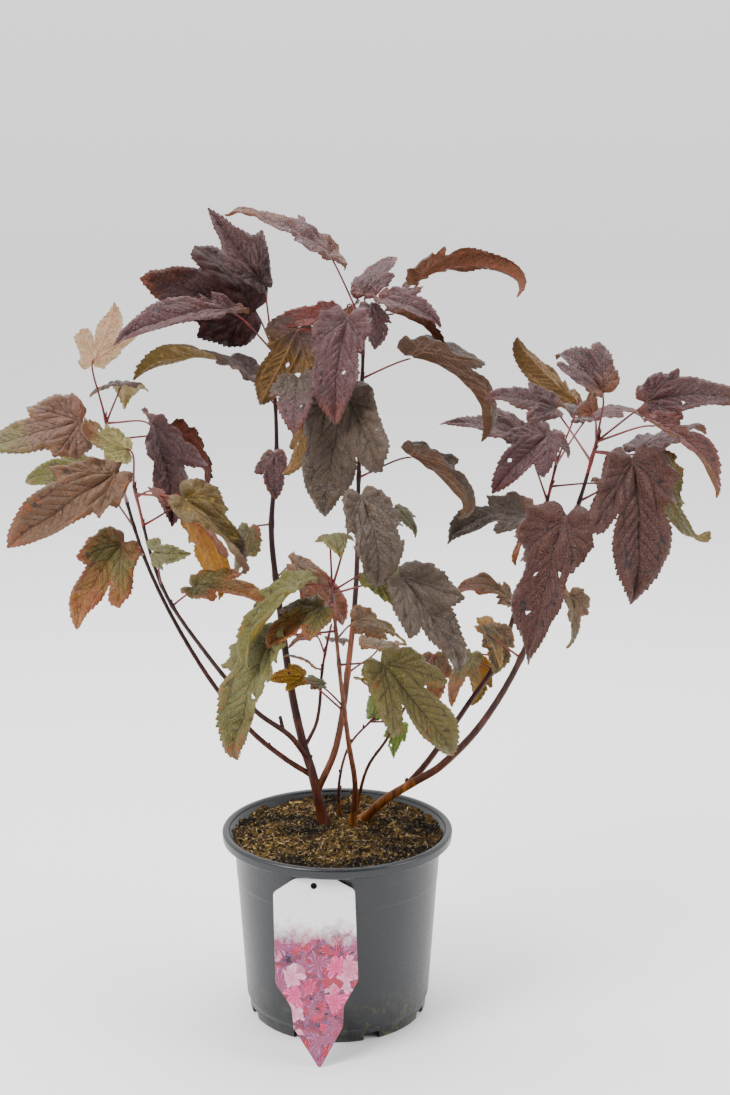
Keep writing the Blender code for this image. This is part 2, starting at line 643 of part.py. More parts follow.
def build():
    clear_scene()
    parts = new_collection("potted_ninebark")
    cutters = new_collection("cutters")
    add_pot(parts, cutters)
    add_compost(parts)
    add_label(parts, cutters)
    limbs = add_limbs(parts, cutters)
    number = 0
    for name, row in MASSES.items():
        add_mass(name, row, number, limbs, parts)
        number += len(row["leaves"])
    for thing in parts.objects:
        thing.data.shade_smooth()
        thing.data.set_sharp_from_angle(angle=math.radians(40))


build()
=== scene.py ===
import json
import math
import random

import bmesh
import bpy
import numpy as np
from mathutils import Matrix, Vector, noise
from mathutils.geometry import delaunay_2d_cdt, interpolate_bezier

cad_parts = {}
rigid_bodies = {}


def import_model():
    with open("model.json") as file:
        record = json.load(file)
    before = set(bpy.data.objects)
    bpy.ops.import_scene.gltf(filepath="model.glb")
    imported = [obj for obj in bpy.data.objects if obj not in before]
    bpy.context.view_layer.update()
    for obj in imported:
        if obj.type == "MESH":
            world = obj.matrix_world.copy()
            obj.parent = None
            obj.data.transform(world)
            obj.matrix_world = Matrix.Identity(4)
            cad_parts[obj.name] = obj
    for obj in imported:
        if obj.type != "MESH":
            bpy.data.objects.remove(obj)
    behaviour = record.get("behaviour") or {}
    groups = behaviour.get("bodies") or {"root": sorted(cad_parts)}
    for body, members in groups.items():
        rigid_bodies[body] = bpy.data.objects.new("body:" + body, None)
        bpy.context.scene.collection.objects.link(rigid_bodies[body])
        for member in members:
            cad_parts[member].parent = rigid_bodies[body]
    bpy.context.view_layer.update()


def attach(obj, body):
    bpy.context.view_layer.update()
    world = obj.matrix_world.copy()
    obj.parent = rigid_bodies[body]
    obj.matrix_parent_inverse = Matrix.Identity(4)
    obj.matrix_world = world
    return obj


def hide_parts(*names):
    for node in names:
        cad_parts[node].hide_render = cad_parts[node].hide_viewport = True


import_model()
mm = 0.001
seed = 9
print("frame loaded")


# Helpers for objects, nodes and materials

def addObject(name, data):
    made = bpy.data.objects.new(name, data)
    bpy.context.scene.collection.objects.link(made)
    return made


def addForm(name, form):        # the same from a bmesh, which is then freed
    mesh = bpy.data.meshes.new(name)
    form.to_mesh(mesh)
    form.free()
    return addObject(name, mesh)


def plainMesh(name, points, faces):
    mesh = bpy.data.meshes.new(name)
    mesh.from_pydata(points, [], faces)
    return mesh


def shapeOf(thing):             # what an object's modifiers make, as a plain mesh
    graph = bpy.context.evaluated_depsgraph_get()
    return bpy.data.meshes.new_from_object(thing.evaluated_get(graph))


def settle(thing):              # puts that mesh in place of the object's own
    mesh = shapeOf(thing)
    thing.modifiers.clear()
    thing.data = mesh
    return mesh


def addBevel(thing, width, angle):
    bevel = thing.modifiers.new("bevel", "BEVEL")
    bevel.width = width * mm
    bevel.segments = 2
    bevel.limit_method = "ANGLE"
    bevel.angle_limit = math.radians(angle)


def smoothOver(mesh, angle):    # smooth, but for the edges that are sharper than the angle
    mesh.shade_smooth()
    mesh.set_sharp_from_angle(angle=math.radians(angle))


def named(prefix, words):       # barkStemLeft from bark and stem_left
    return prefix + "".join(word.capitalize() for word in words.split("_"))


def clamp(value, low, high):
    return min(max(value, low), high)


def around(steps, offset=0.0):  # the cosine and sine of even turns round a circle
    turns = [2 * math.pi * (k + offset) / steps for k in range(steps)]
    return [(math.cos(turn), math.sin(turn)) for turn in turns]


class Nodes:                    # builds a tree of nodes
    def __init__(self, tree):
        self.tree = tree

    def give(self, socket, value):      # a link or a plain value
        if isinstance(value, bpy.types.NodeSocket):
            self.tree.links.new(value, socket)
        else:
            socket.default_value = value

    def node(self, kind, *inOrder, **wanted):   # lower case names are settings, others are sockets
        made = self.tree.nodes.new(kind)
        for name, value in wanted.items():
            if name.islower():
                setattr(made, name, value)
        for socket, value in zip(made.inputs, inOrder):
            self.give(socket, value)
        for name, value in wanted.items():
            if not name.islower():
                self.give(made.inputs[name.replace("_", " ")], value)
        return made

    def sums(self, operation, a, b=0):
        return self.node("ShaderNodeMath", a, b, operation=operation).outputs[0]

    def vectors(self, operation, *values, **wanted):
        return self.node("ShaderNodeVectorMath", *values, operation=operation, **wanted).outputs[0]

    def ramp(self, value, low, high, first=0.0, last=1.0, way="LINEAR"):
        made = self.node("ShaderNodeMapRange", Value=value, From_Min=low, From_Max=high,
                         To_Min=first, To_Max=last, interpolation_type=way)
        return made.outputs["Result"]


class Recipe(Nodes):            # a new material and what its looks are made of
    def __init__(self, name, colour, rough, sheen=0.0, specular=0.5):
        self.material = bpy.data.materials.new(name)
        self.material.use_nodes = True
        super().__init__(self.material.node_tree)
        self.shader = self.tree.nodes["Principled BSDF"].inputs
        self.shader["Base Color"].default_value = (*colour, 1)
        self.shader["Roughness"].default_value = rough
        self.shader["Specular IOR Level"].default_value = specular
        self.shader["Sheen Weight"].default_value = sheen
        self.shader["Sheen Roughness"].default_value = 0.4
        self.place = self.node("ShaderNodeTexCoord").outputs["Object"]

    def stretched(self, scale, turn=(0, 0, 0)):
        made = self.node("ShaderNodeMapping", Vector=self.place, Scale=scale, Rotation=turn)
        return made.outputs["Vector"]

    def cloud(self, scale, detail=3.0, vector=None, distortion=0.0):
        made = self.node("ShaderNodeTexNoise", Vector=vector or self.place, Scale=scale,
                         Detail=detail, Distortion=distortion, Roughness=0.55)
        return made.outputs["Fac"]

    def cells(self, scale, feature="F1", vector=None):
        made = self.node("ShaderNodeTexVoronoi", Vector=vector or self.place, Scale=scale,
                         feature=feature)
        return made.outputs["Distance"]

    def mixed(self, share, a, b):
        made = self.node("ShaderNodeMix", share, data_type="RGBA")
        for socket, value in ((6, a), (7, b)):
            plain = not isinstance(value, bpy.types.NodeSocket)
            self.give(made.inputs[socket], (*value, 1) if plain else value)
        return made.outputs[2]

    def spread(self, share, under, over, most):     # mixes by a share that stays under the most
        return self.mixed(self.sums("MULTIPLY", share, most), under, over)

    def colour(self, socket):
        self.give(self.shader["Base Color"], socket)

    def rough(self, socket):
        self.give(self.shader["Roughness"], socket)

    def bump(self, height, depth, strength=1.0):
        made = self.node("ShaderNodeBump", Height=height, Strength=strength, Distance=depth)
        self.give(self.shader["Normal"], made.outputs["Normal"])


# Colours: the light bleaches them, so they are made deeper than a screen shows them

paint = dict(strength=0.45, saturation=1.5, least=1.15, warm=0.45, vividFrom=0.45, vividOver=0.4)


def linear(r, g, b):            # a colour as read on a screen, 0 to 255, to a linear one
    made = []
    for value in (r, g, b):
        value /= 255
        made.append(value / 12.92 if value <= 0.04045 else ((value + 0.055) / 1.055) ** 2.4)
    return made


def saturated(colour, gain):
    grey = sum(colour) / 3
    return [max(0, grey + (v - grey) * gain) for v in colour]


def screen(r, g, b):            # the same, as it has to be for the studio's strong light
    made = linear(r, g, b)
    chroma = (max(made) - min(made)) / max(max(made), 1e-6)
    share = clamp((chroma - paint["vividFrom"]) / paint["vividOver"], 0, 1)
    made = saturated(made, paint["saturation"] + (paint["least"] - paint["saturation"]) * share)
    made[2] *= 1 - paint["warm"] * share
    return [v * paint["strength"] for v in made]


# Camera and light

camera = dict(place=(0.022, -1.1947, 0.6019), tilt=90 - 10.713, lens=51.79, sensor=36, farEnd=50)
studio = dict(
    floorSize=60, floorShade=0.93, floorRough=0.8,
    skyFront=0.3, skyBack=1.85, skyTurn=(-0.85, -0.05), skyLow=0.72, skyReach=0.5,
    keyPlace=(-1.5, -1.2, 2.2), keySize=1.2, keyPower=80,
    fillPlace=(1.9, -0.7, 1.3), fillSize=1.2, fillPower=22,
    topPlace=(0.1, 0.5, 2.4), topSize=1.6, topPower=40, aim=(0, 0, 0.3),
)


def addCamera():
    data = bpy.data.cameras.new("camera")
    data.lens = camera["lens"]
    data.sensor_width = camera["sensor"]
    data.clip_end = camera["farEnd"]
    made = addObject("camera", data)
    made.location = camera["place"]
    made.rotation_euler = (math.radians(camera["tilt"]), 0, 0)
    bpy.context.scene.camera = made


def addLamp(name):
    data = bpy.data.lights.new(name, "AREA")
    data.shape = "DISK"
    data.size = studio[name + "Size"]
    data.energy = studio[name + "Power"]
    made = addObject(name, data)
    made.location = studio[name + "Place"]
    toAim = Vector(studio[name + "Place"]) - Vector(studio["aim"])
    made.rotation_euler = toAim.to_track_quat("Z", "Y").to_euler()


def addSky():
    world = bpy.data.worlds.new("studio")
    world.use_nodes = True
    sky = Nodes(world.node_tree)
    way = sky.node("ShaderNodeTexCoord").outputs["Generated"]
    _, y, z = sky.node("ShaderNodeSeparateXYZ", way).outputs
    power = sky.ramp(y, *studio["skyTurn"], studio["skyFront"], studio["skyBack"],
                     "SMOOTHSTEP")      # the sky is darker on the camera's side
    low = sky.ramp(z, 0, studio["skyReach"], studio["skyLow"], 1)      # and dimmer low down
    background = world.node_tree.nodes["Background"].inputs
    background["Color"].default_value = (1, 1, 1, 1)
    sky.give(background["Strength"], sky.sums("MULTIPLY", power, low))
    bpy.context.scene.world = world


def addFloor():
    half = studio["floorSize"] / 2
    corners = [(-half, -half, 0), (half, -half, 0), (half, half, 0), (-half, half, 0)]
    mesh = plainMesh("floor", corners, [(0, 1, 2, 3)])
    skin = Recipe("floorPaint", [studio["floorShade"]] * 3, studio["floorRough"])
    mesh.materials.append(skin.material)
    floor = addObject("floor", mesh)


addCamera()
addSky()
for lampName in ("key", "fill", "top"):
    addLamp(lampName)
addFloor()
print("camera and light set")


# The plant's limbs and leaves, as the solids have them: lengths in millimetres, angles in degrees

limbs = {
    "stem_back_left": dict(
        foot=(-12, 23), thick=(8.6, 2.3),
        runs=((43, 195, 78), (24, 157, 71), (45, 129, 70), (81, 123, 75), (50, 121, 79),
              (65, 67, 80), (91, 110, 83))),
    "stem_right_front": dict(
        foot=(21, 28), thick=(8.0, 2.4),
        runs=((30, 328, 45), (28, 347, 35), (28, 337, 36), (53, 333, 49), (69, 331, 61),
              (118, 338, 71), (59, 340, 75))),
    "stem_front": dict(
        foot=(12, 14), thick=(5.4, 2.3),
        runs=((38, 284, 77), (43, 256, 64), (67, 259, 63), (87, 259, 69))),
    "stem_centre": dict(
        parent="stem_back_left", up=26, thick=(6.2, 2.4),
        runs=((44, 350, 68), (78, 0, 82), (61, 10, 85), (75, 52, 88), (126, 46, 87))),
    "stem_far_left": dict(
        parent="stem_back_left", up=40, thick=(4.8, 2.2),
        runs=((29, 178, 33), (35, 174, 40), (66, 169, 52), (84, 165, 61), (72, 164, 72),
              (55, 162, 76))),
    "stem_left": dict(
        parent="stem_back_left", up=55, thick=(4.8, 2.2),
        runs=((28, 216, 53), (38, 204, 40), (69, 206, 52), (63, 207, 59), (77, 221, 74))),
    "stem_thin_back": dict(
        parent="stem_back_left", up=64, thick=(3.4, 2.0),
        runs=((25, 30, 61), (41, 68, 75), (30, 55, 71))),
    "stem_right_back": dict(
        parent="stem_right_front", up=50, thick=(5.6, 2.3),
        runs=((29, 26, 43), (53, 20, 52), (48, 19, 54), (54, 29, 70), (77, 25, 72),
              (33, 27, 75))),
    "twig_back": dict(
        foot=(1, 38), thick=(3.0, 1.8),
        runs=((32, 272, 81), (30, 60, 57), (30, 40, 35))),
    "twig_back_right": dict(
        foot=(14, 40), thick=(3.2, 1.8),
        runs=((45, 315, 72), (29, 31, 49), (76, 31, 55))),
}

# Each leaf: share along the limb; its stalk's bearing, rise and length; its blade's bearing,
# pitch and length; the blade's roll about its midrib; its arch; its tint; then what sets it apart
masses = {
    "leaves_far_left": dict(limb="stem_far_left", leaves=(
        (0.67, 260, 20, 54, 205, -50, 77, -40, 25, "moss",
         dict(tip="amber", heel="rust", heelReach=0.15, edging=0.7, left=1.2, right=0.85,
              sinus=0.85, fold=14, twist=15, holes=0)),
        (0.74, 145, 42, 59, 165, -5, 62, -50, 20, "green", dict(fold=14, edging=0.3, waist=0.3)),
        (0.80, 270, 30, 61, 205, -35, 100, -50, 30, "russet",
         dict(fold=22, twist=10, edging=0.45, broad=0.95, left=0.75, right=0.85, hook=20,
              tip="rust", fade=0.9, waist=0.5, teeth=0.8)),
        (0.92, 205, 45, 37, 195, -20, 80, -55, 25, "blush",
         dict(tip="sage", heel="pink", heelReach=0.12, fade=0.62, edging=0.5, fold=12, hook=15,
              crumple=0.03)),
        (0.95, 10, 5, 46, 25, -48, 60, 0, 35, "maroon", dict(fold=38, twist=60, crumple=0.05)),
        (0.99, 320, 5, 51, 300, -64, 87, -18, 30, "plum",
         dict(fold=32, twist=70, crumple=0.06, broad=0.9, left=1.1, hook=30, edging=0.4,
              heel="mauve", heelReach=0.4, waist=0.3)),
        (0.99, 335, 65, 33, 90, -15, 65, 0, 40, "plumPale", dict(fold=12, curl=1.3, hook=70)),
        (1.00, 180, 80, 46, 65, 50, 59, 180, 20, "beige",
         dict(left=1.4, right=1.3, fold=16, broad=1.15, hook=10, twist=10)),
    )),
    "leaves_left": dict(limb="stem_left", leaves=(
        (0.65, 0, 40, 22, 335, -12, 64, 24, 45, "moss",
         dict(tip="amber", edging=0.8, fold=34, waist=0.3, hook=40)),
        (0.72, 265, 55, 36, 320, 5, 39, 90, 40, "sage", dict(fold=36, crumple=0.06, edging=0.3)),
        (0.90, 25, 20, 34, 30, -68, 80, 0, 25, "rust",
         dict(tip="amber", edging=0.8, fold=12, broad=1.3)),
        (0.98, 325, 25, 17, 325, -35, 19, 0, 20, "pink"),
        (0.99, 330, 0, 44, 20, -55, 83, 60, 50, "veined",
         dict(fold=46, twist=-50, crumple=0.06, broad=0.85, left=0.75, right=0.7, edging=0.3,
              tip="maroon", fade=0.66, hook=50)),
        (1.00, 220, 80, 31, 220, 30, 46, 120, 30, "sage", dict(tip="mauve", fold=20, curl=1.0)),
    )),
    "leaves_back_left_low": dict(limb="stem_back_left", leaves=(
        (0.48, 260, -20, 12, 225, -10, 24, 0, 30, "grey"),
        (0.51, 55, 15, 25, 15, -45, 69, 35, 30, "taupe",
         dict(tip="rust", edging=1.3, fold=10, hook=20)),
        (0.62, 160, -15, 21, 235, -75, 45, 20, 20, "moss"),
    )),
    "leaves_back_left": dict(limb="stem_back_left", leaves=(
        (0.77, 270, 0, 27, 265, -65, 39, 0, 30, "mauve", dict(edging=1.2)),
        (0.86, 215, 50, 32, 190, 0, 98, 2, 55, "olive",
         dict(twist=75, fold=24, broad=0.85, left=0.75, right=0.8, hook=20, waist=0.5)),
        (0.97, 225, 40, 49, 190, -15, 98, -38, 45, "mauve",
         dict(twist=-14, fold=32, hook=25, broad=1.0, left=0.8, right=0.6, heel="copper",
              heelReach=0.08, edging=0.3, waist=0.8)),
        (0.98, 150, 58, 34, 182, 12, 92, -68, 20, "maroon",
         dict(fold=6, crumple=0.05, hook=10, broad=1.2, left=0.95, right=1.4, sinus=1.15,
              waist=0.0, tip="copper", fade=0.9)),
        (0.99, 155, 80, 47, 160, 50, 76, -60, 20, "plum",
         dict(fold=30, hook=-10, broad=0.6, twist=10, left=0.8, right=0.95, edging=0.3,
              heel="maroon", heelReach=0.35, waist=0.6)),
    )),
    "leaves_thin_back": dict(limb="stem_thin_back", leaves=(
        (0.68, 220, 30, 11, 205, 25, 28, 0, 35, "amber", dict(tip="moss")),
        (0.82, 225, 60, 22, 220, -15, 27, 0, 30, "rust"),
        (0.95, 75, -20, 14, 65, -20, 30, 0, 30, "grey"),
    )),
    "leaves_centre_low": dict(limb="stem_centre", leaves=(
        (0.27, 50, 20, 39, 70, -10, 54, 0, 40, "taupe", dict(tip="moss", edging=1.2)),
    )),
    "leaves_centre": dict(limb="stem_centre", leaves=(
        (0.68, 340, 25, 46, 340, -42, 72, -10, 45, "moody",
         dict(fold=38, twist=-10, broad=1.25, curl=0.5, tip="gold", fade=0.7, waist=0.1)),
        (0.73, 110, 35, 29, 45, -55, 39, 0, 30, "sage"),
        (0.76, 195, 15, 47, 190, -75, 46, 150, 25, "gold"),
        (0.83, 220, 20, 65, 265, -40, 56, 0, 30, "grey",
         dict(crumple=0.05, tip="mauve", broad=1.2)),
        (0.84, 255, 10, 46, 240, -77, 94, 0, 25, "grey",
         dict(fold=16, crumple=0.045, broad=1.3, left=1.35, right=0.85, sinus=1.1, hook=15,
              edging=0.3, waist=0.05)),
        (0.60, 5, 12, 30, 325, -40, 30, 10, 30, "sage", dict(edging=0.3, waist=0.1, holes=0)),
    )),
    "leaves_top": dict(limb="stem_centre", leaves=(
        (0.88, 0, 25, 40, 355, -44, 100, -4, 75, "moody",
         dict(fold=38, twist=-10, broad=1.3, left=1.1, right=1.0, edging=0.5, curl=0.4,
              waist=0.1)),
        (0.93, 200, 20, 56, 215, -65, 66, 110, 35, "gold",
         dict(fold=14, curl=1.2, left=0.7, broad=1.1, heel="flipped", heelReach=0.34)),
        (0.97, 255, 15, 48, 250, -70, 81, 0, 30, "mauve",
         dict(fold=28, tip="coral", fade=1.02, broad=1.3, sinus=1.15, twist=5, hook=35,
              edging=0.1, left=0.75, right=0.8)),
        (0.98, 10, 40, 54, 355, -5, 92, -40, 95, "bronze",
         dict(fold=36, broad=0.8, left=0.7, right=0.65, hook=70, tip="rosy", fade=0.95,
              waist=0.5)),
        (0.98, 205, 65, 58, 195, 20, 90, -20, 38, "mauve",
         dict(fold=20, twist=12, broad=0.95, left=0.95, right=0.85, hook=10, crumple=0.06,
              heel="copper", heelReach=0.22, tip="copper", fade=0.66, edging=0.5, waist=0.3)),
        (0.98, 110, 25, 37, 150, -15, 59, 160, 35, "bronze"),
        (0.99, 90, 40, 33, 60, 35, 50, 0, 30, "mauve",
         dict(holes=0, broad=1.2, heel="rosy", heelReach=0.15, waist=0.3)),
        (0.99, 330, 50, 24, 330, -20, 52, 35, 30, "mauve",
         dict(fold=30, twist=30, heel="rosy", heelReach=0.15, waist=0.4)),
        (0.99, 290, 48, 19, 300, -60, 38, 0, 35, "mauve", dict(edging=0.4, broad=1.3)),
        (0.99, 185, 15, 22, 192, -16, 54, -40, 30, "rosy", dict(fold=30, left=0.7, right=0.7)),
        (0.99, 20, 20, 24, 350, -30, 52, -15, 35, "bronze", dict(fold=34, twist=-70, left=0.9)),
    )),
    "leaves_front": dict(limb="stem_front", leaves=(
        (0.50, 225, 40, 56, 190, 6, 27, -58, 25, "yellow", dict(edging=0.5, fold=14)),
        (0.70, 320, 10, 43, 340, -50, 92, 35, 20, "moss",
         dict(fold=24, broad=0.95, sinus=0.7, left=0.95, right=1.12, hook=35, edging=0.3,
              twist=25, waist=0.1)),
        (0.83, 208, 0, 48, 216, -64, 97, -8, 30, "sage",
         dict(fold=26, broad=0.9, sinus=1.05, left=0.75, right=0.8, tip="moss", fade=0.7,
              edging=0.35, hook=40, twist=-25, crumple=0.05, waist=0.4)),
        # this leaf lies in shade: its moss and amber tints are partly its own colour and partly
        # painted light, picked brighter to make up for the shade
        (0.94, 235, -5, 14, 205, -30, 54, -25, 30, "moss",
         dict(tip="amber", fade=0.45, fold=14, crumple=0.06)),
        (0.97, 350, 15, 52, 335, -50, 82, 30, 20, "grey",
         dict(fold=26, broad=1.05, crumple=0.055, twist=30, edging=0.3)),
        (0.98, 10, 25, 29, 5, -32, 58, 35, 25, "green",
         dict(edging=0.3, tip="sage", fold=14, holes=0)),
        (0.99, 355, 72, 71, 300, -62, 70, 0, 25, "grey",
         dict(fold=18, crumple=0.05, twist=-10, broad=1.6, left=0.9, right=0.9, sinus=1.25,
              edging=0.3, teeth=0.7, holes=0)),
        (0.99, 105, 85, 39, 280, -15, 35, 0, 60, "sage"),
        (0.99, 200, 15, 20, 198, -42, 82, -8, 25, "green",
         dict(fold=32, twist=-10, broad=1.0, edging=0.35, sinus=1.05, left=0.8, right=0.8,
              holes=0, heel="sage", waist=0.4)),
        (0.52, 215, 48, 28, 185, 5, 25, -20, 35, "sage", dict(edging=0.3)),
        (0.88, 165, 10, 22, 215, -55, 44, 30, 30, "sage", dict(fold=35)),
        (0.80, 60, 15, 30, 20, -25, 46, 30, 45, "taupe", dict(tip="green", edging=1.2)),
    )),
    "leaves_right_back_low": dict(limb="stem_right_back", leaves=(
        (0.40, 135, 15, 21, 45, -80, 44, 0, 20, "amber", dict(tip="moss", edging=0.4)),
        (0.48, 115, 5, 21, 110, 20, 32, 0, 30, "amber", dict(tip="yellow", edging=0.4)),
        (0.59, 100, 0, 25, 170, 5, 54, -30, 110, "taupe",
         dict(tip="rust", edging=0.9, fold=8, left=0.5, right=0.55, hook=20, broad=0.85,
              sinus=1.15, teeth=0.4, waist=0.5)),
        (0.44, 200, 10, 26, 230, -55, 46, 20, 25, "moss", dict(tip="amber", edging=0.5)),
        (0.52, 240, 15, 22, 265, -60, 40, -20, 25, "taupe", dict(tip="moss")),
    )),
    "leaves_right_back": dict(limb="stem_right_back", leaves=(
        (0.76, 80, 55, 25, 155, -65, 44, 0, 20, "rust"),
        (0.79, 245, 45, 26, 192, -10, 76, -26, 45, "moody",
         dict(fold=26, twist=-20, broad=0.95, crumple=0.045, heel="amber", heelReach=0.08)),
        (0.89, 140, 65, 49, 170, 10, 75, -22, 45, "mauve",
         dict(fold=26, broad=0.9, twist=-30, crumple=0.04)),
        (0.93, 320, 10, 48, 15, -45, 50, 0, 30, "plum"),
        (0.99, 250, 45, 39, 205, -40, 67, -40, 25, "mauve",
         dict(fold=28, left=1.1, broad=0.95, sinus=0.9, edging=0.3)),
        (0.99, 255, 55, 35, 325, -55, 24, 0, 25, "mauve", dict(edging=1.2)),
        (0.99, 15, 72, 54, 152, 40, 76, 140, 30, "gold",
         dict(fold=34, broad=0.85, left=0.7, right=0.7, waist=0.7)),
        (0.99, 50, 40, 51, 30, 0, 63, 0, 50, "mauve"),
    )),
    "leaves_right_low": dict(limb="stem_right_front", leaves=(
        (0.53, 130, 20, 44, 330, -60, 34, 0, 30, "moss", dict(tip="yellow", edging=0.5)),
        (0.75, 65, -50, 43, 320, -80, 44, 0, 20, "taupe", dict(tip="moss")),
    )),
    "leaves_right": dict(limb="stem_right_front", leaves=(
        (0.85, 245, -5, 26, 224, -75, 108, 4, 20, "wine",
         dict(fold=20, broad=1.25, holes=3, left=0.8, right=0.75, sinus=1.0, edging=0.3, hook=10,
              twist=15, crumple=0.03, waist=0.1)),
        (0.87, 18, 22, 72, 355, -60, 78, 150, 45, "moss", dict(fold=20, hook=60, edging=0.2)),
        (0.95, 130, 45, 52, 190, 8, 54, -42, 35, "plum",
         dict(fold=20, curl=0.8, heel="copper", heelReach=0.08, tip="mauve", waist=0.3)),
        (0.97, 310, -5, 37, 285, -70, 104, 0, 20, "wine",
         dict(fold=22, broad=1.2, sinus=0.8, left=0.75, right=1.1, skew=-0.12, edging=0.35,
              hook=20, holes=0, waist=0.3, crumple=0.035)),
        (0.97, 15, 0, 36, 35, 12, 66, 0, 30, "plum", dict(waist=0.3)),
        (0.99, 355, 40, 46, 350, 5, 72, 56, 50, "plum",
         dict(fold=22, twist=-40, broad=0.8, hook=20, left=0.8, right=0.8, tip="gold",
              fade=0.86, heel="copper", heelReach=0.05, waist=0.4)),
        (0.99, 330, 20, 45, 345, -45, 76, 20, 40, "wineGold",
         dict(fold=42, broad=0.9, left=0.6, right=0.6, twist=-25, edging=0.5, tip="rust",
              fade=0.9, waist=0.6)),
        (0.99, 50, 80, 37, 128, 26, 56, -24, 45, "plum",
         dict(fold=38, twist=20, edging=0.4, heel="copper", heelReach=0.25, left=1.2, right=1.25,
              waist=0.1, holes=0)),
        (0.99, 250, 50, 30, 240, 5, 46, 30, 40, "plum",
         dict(fold=38, twist=-50, edging=0.8, heel="rosy", heelReach=0.1)),
    )),
    # these two lime leaves carry painted light in their tint
    "leaves_twig_back": dict(limb="twig_back", leaves=(
        (0.97, 10, -8, 26, 230, -60, 30, 0, 20, "lime", dict(edging=0.3, waist=0.1)),
        (0.98, 80, 5, 10, 50, 52, 34, 0, 20, "lime", dict(edging=0.3, waist=0.1)),
    )),
    "leaves_twig_right": dict(limb="twig_back_right", leaves=(
        (0.70, 145, 20, 47, 65, -30, 30, 0, 20, "green"),
        (0.98, 75, 5, 12, 275, -80, 38, 0, 20, "taupe", dict(tip="amber")),
    )),
}

soil = dict(top=145, flatRadius=55, edge=144)
flare = dict(share=0.35, height=9, taper=0.8)


def heading(bearing, rise):
    flat = math.cos(math.radians(rise))
    turn = math.radians(bearing)
    return Vector((flat * math.cos(turn), flat * math.sin(turn), math.sin(math.radians(rise))))


def smoothPath(joints, pieces=6):
    tangents = []
    for k in range(len(joints)):
        before = joints[max(k - 1, 0)]
        after = joints[min(k + 1, len(joints) - 1)]
        tangents.append((after - before).normalized())
    made = [joints[0]]
    for k in range(len(joints) - 1):
        a, b = joints[k], joints[k + 1]
        pull = (b - a).length / 3
        made += interpolate_bezier(a, a + tangents[k] * pull, b - tangents[k + 1] * pull, b,
                                   pieces + 1)[1:]
    return made


class Limb:                     # one limb's smooth path, measured from its foot
    def __init__(self, row, grown):
        self.onSoil = "foot" in row
        if self.onSoil:
            start = Vector((row["foot"][0] * mm, row["foot"][1] * mm, soil["top"] * mm))
        else:
            start = grown[row["parent"]].at(row["up"] * mm)
        joints = [start]
        for length, bearing, rise in row["runs"]:
            joints.append(joints[-1] + heading(bearing, rise) * length * mm)
        self.points = smoothPath(joints)
        self.marks = [0.0]
        for a, b in zip(self.points, self.points[1:]):
            self.marks.append(self.marks[-1] + (b - a).length)
        self.length = self.marks[-1]
        self.thick = [t * mm / 2 for t in row["thick"]]

    def at(self, distance):
        distance = clamp(distance, 0, self.length)
        k = 1
        while self.marks[k] < distance and k < len(self.marks) - 1:
            k += 1
        share = (distance - self.marks[k - 1]) / (self.marks[k] - self.marks[k - 1])
        return self.points[k - 1].lerp(self.points[k], share)

    def way(self, distance, before, after):     # its direction between two near places
        return (self.at(distance + after) - self.at(distance - before)).normalized()

    def radius(self, distance):
        foot, tip = self.thick
        size = foot + (tip - foot) * (max(distance, 0) / self.length) ** flare["taper"]
        if self.onSoil:
            size *= 1 + flare["share"] * max(0, 1 - distance / (flare["height"] * mm))
        return size


grownLimbs = {}
for limbName, limbRow in limbs.items():
    grownLimbs[limbName] = Limb(limbRow, grownLimbs)
